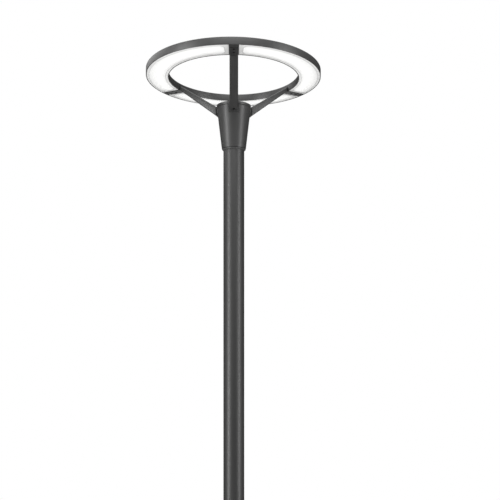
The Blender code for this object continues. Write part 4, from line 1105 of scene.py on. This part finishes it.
def opal(name, inner_edge, outer_edge):
    """Opal acrylic, lit from behind in its round-cornered pan, greyer on the flange and where boards meet, with
    painted shade at the pan's edge and ends.
    """
    material, wire = surface(name, {"Roughness": 0.32, "Emission Strength": 1.0, "Base Color": OPAL})
    place = wire.node("ShaderNodeTexCoord", output="Object")
    x, y = (wire.node("ShaderNodeSeparateXYZ", None, {0: place}, axis) for axis in "XY")
    reach = wire.math("SQRT", x * x + y * y)
    full_turn = math.radians(360 - ARM_TURNS["front"])
    turn = wire.math("MODULO", wire.math("ARCTAN2", y, x) + full_turn, math.radians(BAY))
    off_arm = wire.math("MINIMUM", turn, math.radians(BAY) - turn)
    from_end = (off_arm - math.radians(BAY_END)) * reach - FLANGE_WIDTH - PAN_END
    from_side = wire.math("MINIMUM", reach - inner_edge, outer_edge - reach) - FLANGE_WIDTH
    short = [wire.math("MAXIMUM", PAN_CORNER - edge, 0.0) for edge in (from_end, from_side)]
    inside = PAN_CORNER - wire.math("SQRT", short[0] * short[0] + short[1] * short[1])
    lit = inside.between(0.0, PAN_STEP)
    middle = from_side.between(0.0, PAN_FADE)
    # painted shade: the grey line round the pan's edge
    edge = 1 - abs(inside + MM).between(*PAN_EDGE_SHADE_LINE)
    joint = 1 - (abs(off_arm - math.radians(BAY / BOARDS)) * reach).between(*JOINT_LINE)
    cloud = grain(wire, 26 * MM, detail=3.0)
    # painted shade towards the panel's ends, partly the boards' light falling off
    end = 1 - from_end.between(*PAN_END_SHADE_FADE)
    glow = FLANGE_GLOW + lit * (PAN_GLOW[0] + PAN_GLOW[1] * middle - JOINT_SHADE * joint)
    glow = (glow - PAN_EDGE_PAINTED_SHADE * edge - PAN_END_PAINTED_SHADE * end) * (0.97 + 0.06 * cloud)
    glow.colours(GLOW_NONE, GLOW_WHITE).feeds(material, "Emission Color")
    (0.28 + 0.1 * grain(wire, 2 * MM)).feeds(material, "Roughness")
    return material


panel_inner = inner + RIM + PANEL_PLAY
panel_outer = outer - RIM - PANEL_PLAY
panel_low = ring_low + RECESS
bpy.ops.object.select_all(action="DESELECT")
middle = ((panel_inner + panel_outer) / 2, 0, panel_low + FLANGE / 2)
bpy.ops.mesh.primitive_plane_add(size=1, location=middle, rotation=(math.radians(90), 0, 0))
panel = started("panel", (panel_outer - panel_inner, FLANGE, 1))
bpy.ops.object.mode_set(mode="EDIT")
bpy.ops.mesh.select_all(action="SELECT")
bpy.ops.mesh.spin(
    steps=PANEL_STEPS,
    angle=math.radians(BAY - 2 * BAY_END),
    center=(0, 0, 0),
    axis=(0, 0, 1),
    use_auto_merge=False,
)
bpy.ops.mesh.select_all(action="SELECT")
bpy.ops.mesh.remove_doubles(threshold=1e-6)
bpy.ops.mesh.normals_make_consistent(inside=False)
bpy.ops.object.mode_set(mode="OBJECT")
angles = [math.atan2(vert.co.y, vert.co.x) for vert in panel.data.vertices]
panel.data.transform(about_pole(BAY_END - math.degrees(min(angles))))
bpy.ops.object.mode_set(mode="EDIT")
select(panel, "FACE", lambda face: abs(face.calc_center_median().z - panel_low) < 1e-5)
bpy.ops.mesh.inset(thickness=FLANGE_WIDTH, use_even_offset=True)
bpy.ops.mesh.inset(thickness=PAN_SLOPE, depth=PAN_DROP, use_even_offset=True)
bpy.ops.object.mode_set(mode="OBJECT")
ease_edges(panel, PANEL_EDGE, sharp=35.0)
opal_light = opal("opal_light", panel_inner, panel_outer)
round_the_pole(panel, Matrix.Identity(4), BAY_TURNS, ["diffuser"], opal_light)


def board_mask(name):
    """White solder mask with a fine weave under it."""
    material, wire = surface(name, {"Roughness": 0.45})
    weave = grain(wire, 1.2 * MM)
    weave.colours(MASK_DARK, MASK_LIGHT).feeds(material, "Base Color")
    dented(wire, material, weave, 0.01 * MM)
    return material


dress(board_mask("board_mask"), "led_board_right", "led_board_rear", "led_board_left")

# Stage: a pale round floor that fades into a white background, two tall soft lights in front, two broad ones
# above, a wash from behind on the left, and a low light behind that glances off the undersides.
# A dark hall round it all, seen only by reflections, keeps round edges dark.
FLOOR_RADIUS = 2.6
FLOOR_DROP = 0.5 * MM  # below the base's underside
FLOOR_FADE = (0.4, 0.98)  # from full floor to none, as shares of its radius
FLOOR_COLOUR = (0.80, 0.80, 0.79, 1)
ROOM_LIGHT = 0.40
STRIP_SIZE = (0.5, 3.8)
STRIP_DISTANCE = 2.2
STRIP_HEIGHT = 2.2
STRIPS = {"left": (-57, 72.0), "right": (60, 54.0)}  # degrees to the right of the front, and power
TOP_LIGHT_SIZE = (2.2, 2.2)
TOP_LIGHT_POWER = 45.0
TOP_LIGHT_PLACE = (0, -2.2, 5.4)
BROW_SIZE = (3.4, 0.6)
BROW_POWER = 20.0
BROW_PLACE = (0, -2.8, 4.75)
WASH_SIZE = (2.4, 0.7)
WASH_POWER = 13.0
WASH_PLACE = (-2.3, 1.0, 4.3)
LOW_SIZE = (1.3, 0.6)
LOW_POWER = 4.6
LOW_PLACE = (0, 2.5, 2.2)
HALL_RADIUS = 3.4
HALL_HEIGHT = 5.2
HALL_COLOUR = (0.02, 0.02, 0.02, 1)

bpy.ops.object.select_all(action="DESELECT")
middle = (0, 0, -FLOOR_DROP)
bpy.ops.mesh.primitive_circle_add(vertices=96, radius=FLOOR_RADIUS, fill_type="NGON", location=middle)
floor = started("floor")
fixed = {"Base Color": FLOOR_COLOUR, "Roughness": 0.9, "Specular IOR Level": 0.1}
floor_paint, wire = surface("floor_paint", fixed)
place = wire.node("ShaderNodeTexCoord", output="Object")
reach = wire.node("ShaderNodeVectorMath", {"operation": "LENGTH"}, {0: place}, "Value")
clear = wire.node("ShaderNodeBsdfTransparent")
shader = Wire(wire.tree, wire.tree.nodes["Principled BSDF"].outputs[0])
fade = (reach / FLOOR_RADIUS).between(*FLOOR_FADE)
faded = wire.node("ShaderNodeMixShader", None, {0: fade, 1: shader, 2: clear})
wire.tree.links.new(faded.socket, wire.tree.nodes["Material Output"].inputs["Surface"])
floor.data.materials.append(floor_paint)
floor.visible_glossy = False


def soft_light(name, size, power, place, towards):
    """A rectangular soft light, aimed at a point and kept out of the camera's sight."""
    glow = bpy.data.lights.new(name, "AREA")
    glow.shape = "RECTANGLE"
    glow.size, glow.size_y = size
    glow.energy = power
    light = bpy.data.objects.new(name, glow)
    light.location = place
    light.rotation_euler = (Vector(towards) - Vector(place)).to_track_quat("-Z", "Y").to_euler()
    light.visible_camera = False
    scene.collection.objects.link(light)


for name, (turn, power) in STRIPS.items():
    angle = math.radians(turn)
    place = (STRIP_DISTANCE * math.sin(angle), -STRIP_DISTANCE * math.cos(angle), STRIP_HEIGHT)
    soft_light(f"strip_{name}", STRIP_SIZE, power, place, (0, 0, STRIP_HEIGHT))
soft_light("top_light", TOP_LIGHT_SIZE, TOP_LIGHT_POWER, TOP_LIGHT_PLACE, (0, 0, collar_top))
soft_light("brow_light", BROW_SIZE, BROW_POWER, BROW_PLACE, (0, -outer, ring_low))
soft_light("wash_light", WASH_SIZE, WASH_POWER, WASH_PLACE, (0, 0, ring_low))
soft_light("low_light", LOW_SIZE, LOW_POWER, LOW_PLACE, (0, 0, ring_low))

bpy.ops.object.select_all(action="DESELECT")
middle = (0, 0, HALL_HEIGHT / 2 - MM)
bpy.ops.mesh.primitive_cylinder_add(vertices=64, radius=HALL_RADIUS, depth=HALL_HEIGHT, location=middle)
hall = started("hall")
bpy.ops.object.mode_set(mode="EDIT")
select(hall, "FACE", lambda face: face.normal.z > 0.9)
bpy.ops.mesh.delete(type="FACE")
bpy.ops.object.mode_set(mode="OBJECT")
fixed = {"Base Color": HALL_COLOUR, "Roughness": 1.0, "Specular IOR Level": 0.0}
hall.data.materials.append(surface("hall_paint", fixed)[0])
hall.visible_camera = False
hall.visible_diffuse = False
hall.visible_shadow = False
hall.visible_transmission = False

world = bpy.data.worlds.new("world")
scene.world = world
world.use_nodes = True
wire = Wire(world.node_tree)
path = wire.node("ShaderNodeLightPath")
rays = ("Is Camera Ray", "Is Glossy Ray", "Is Transmission Ray")
seen = [Wire(wire.tree, path.socket.node.outputs[ray]) for ray in rays]
shown = wire.math("MAXIMUM", wire.math("MAXIMUM", seen[0], seen[1]), seen[2])
sky = world.node_tree.nodes["Background"]
sky.inputs["Color"].default_value = (1, 1, 1, 1)
world.node_tree.links.new((ROOM_LIGHT + (1 - ROOM_LIGHT) * shown).socket, sky.inputs["Strength"])
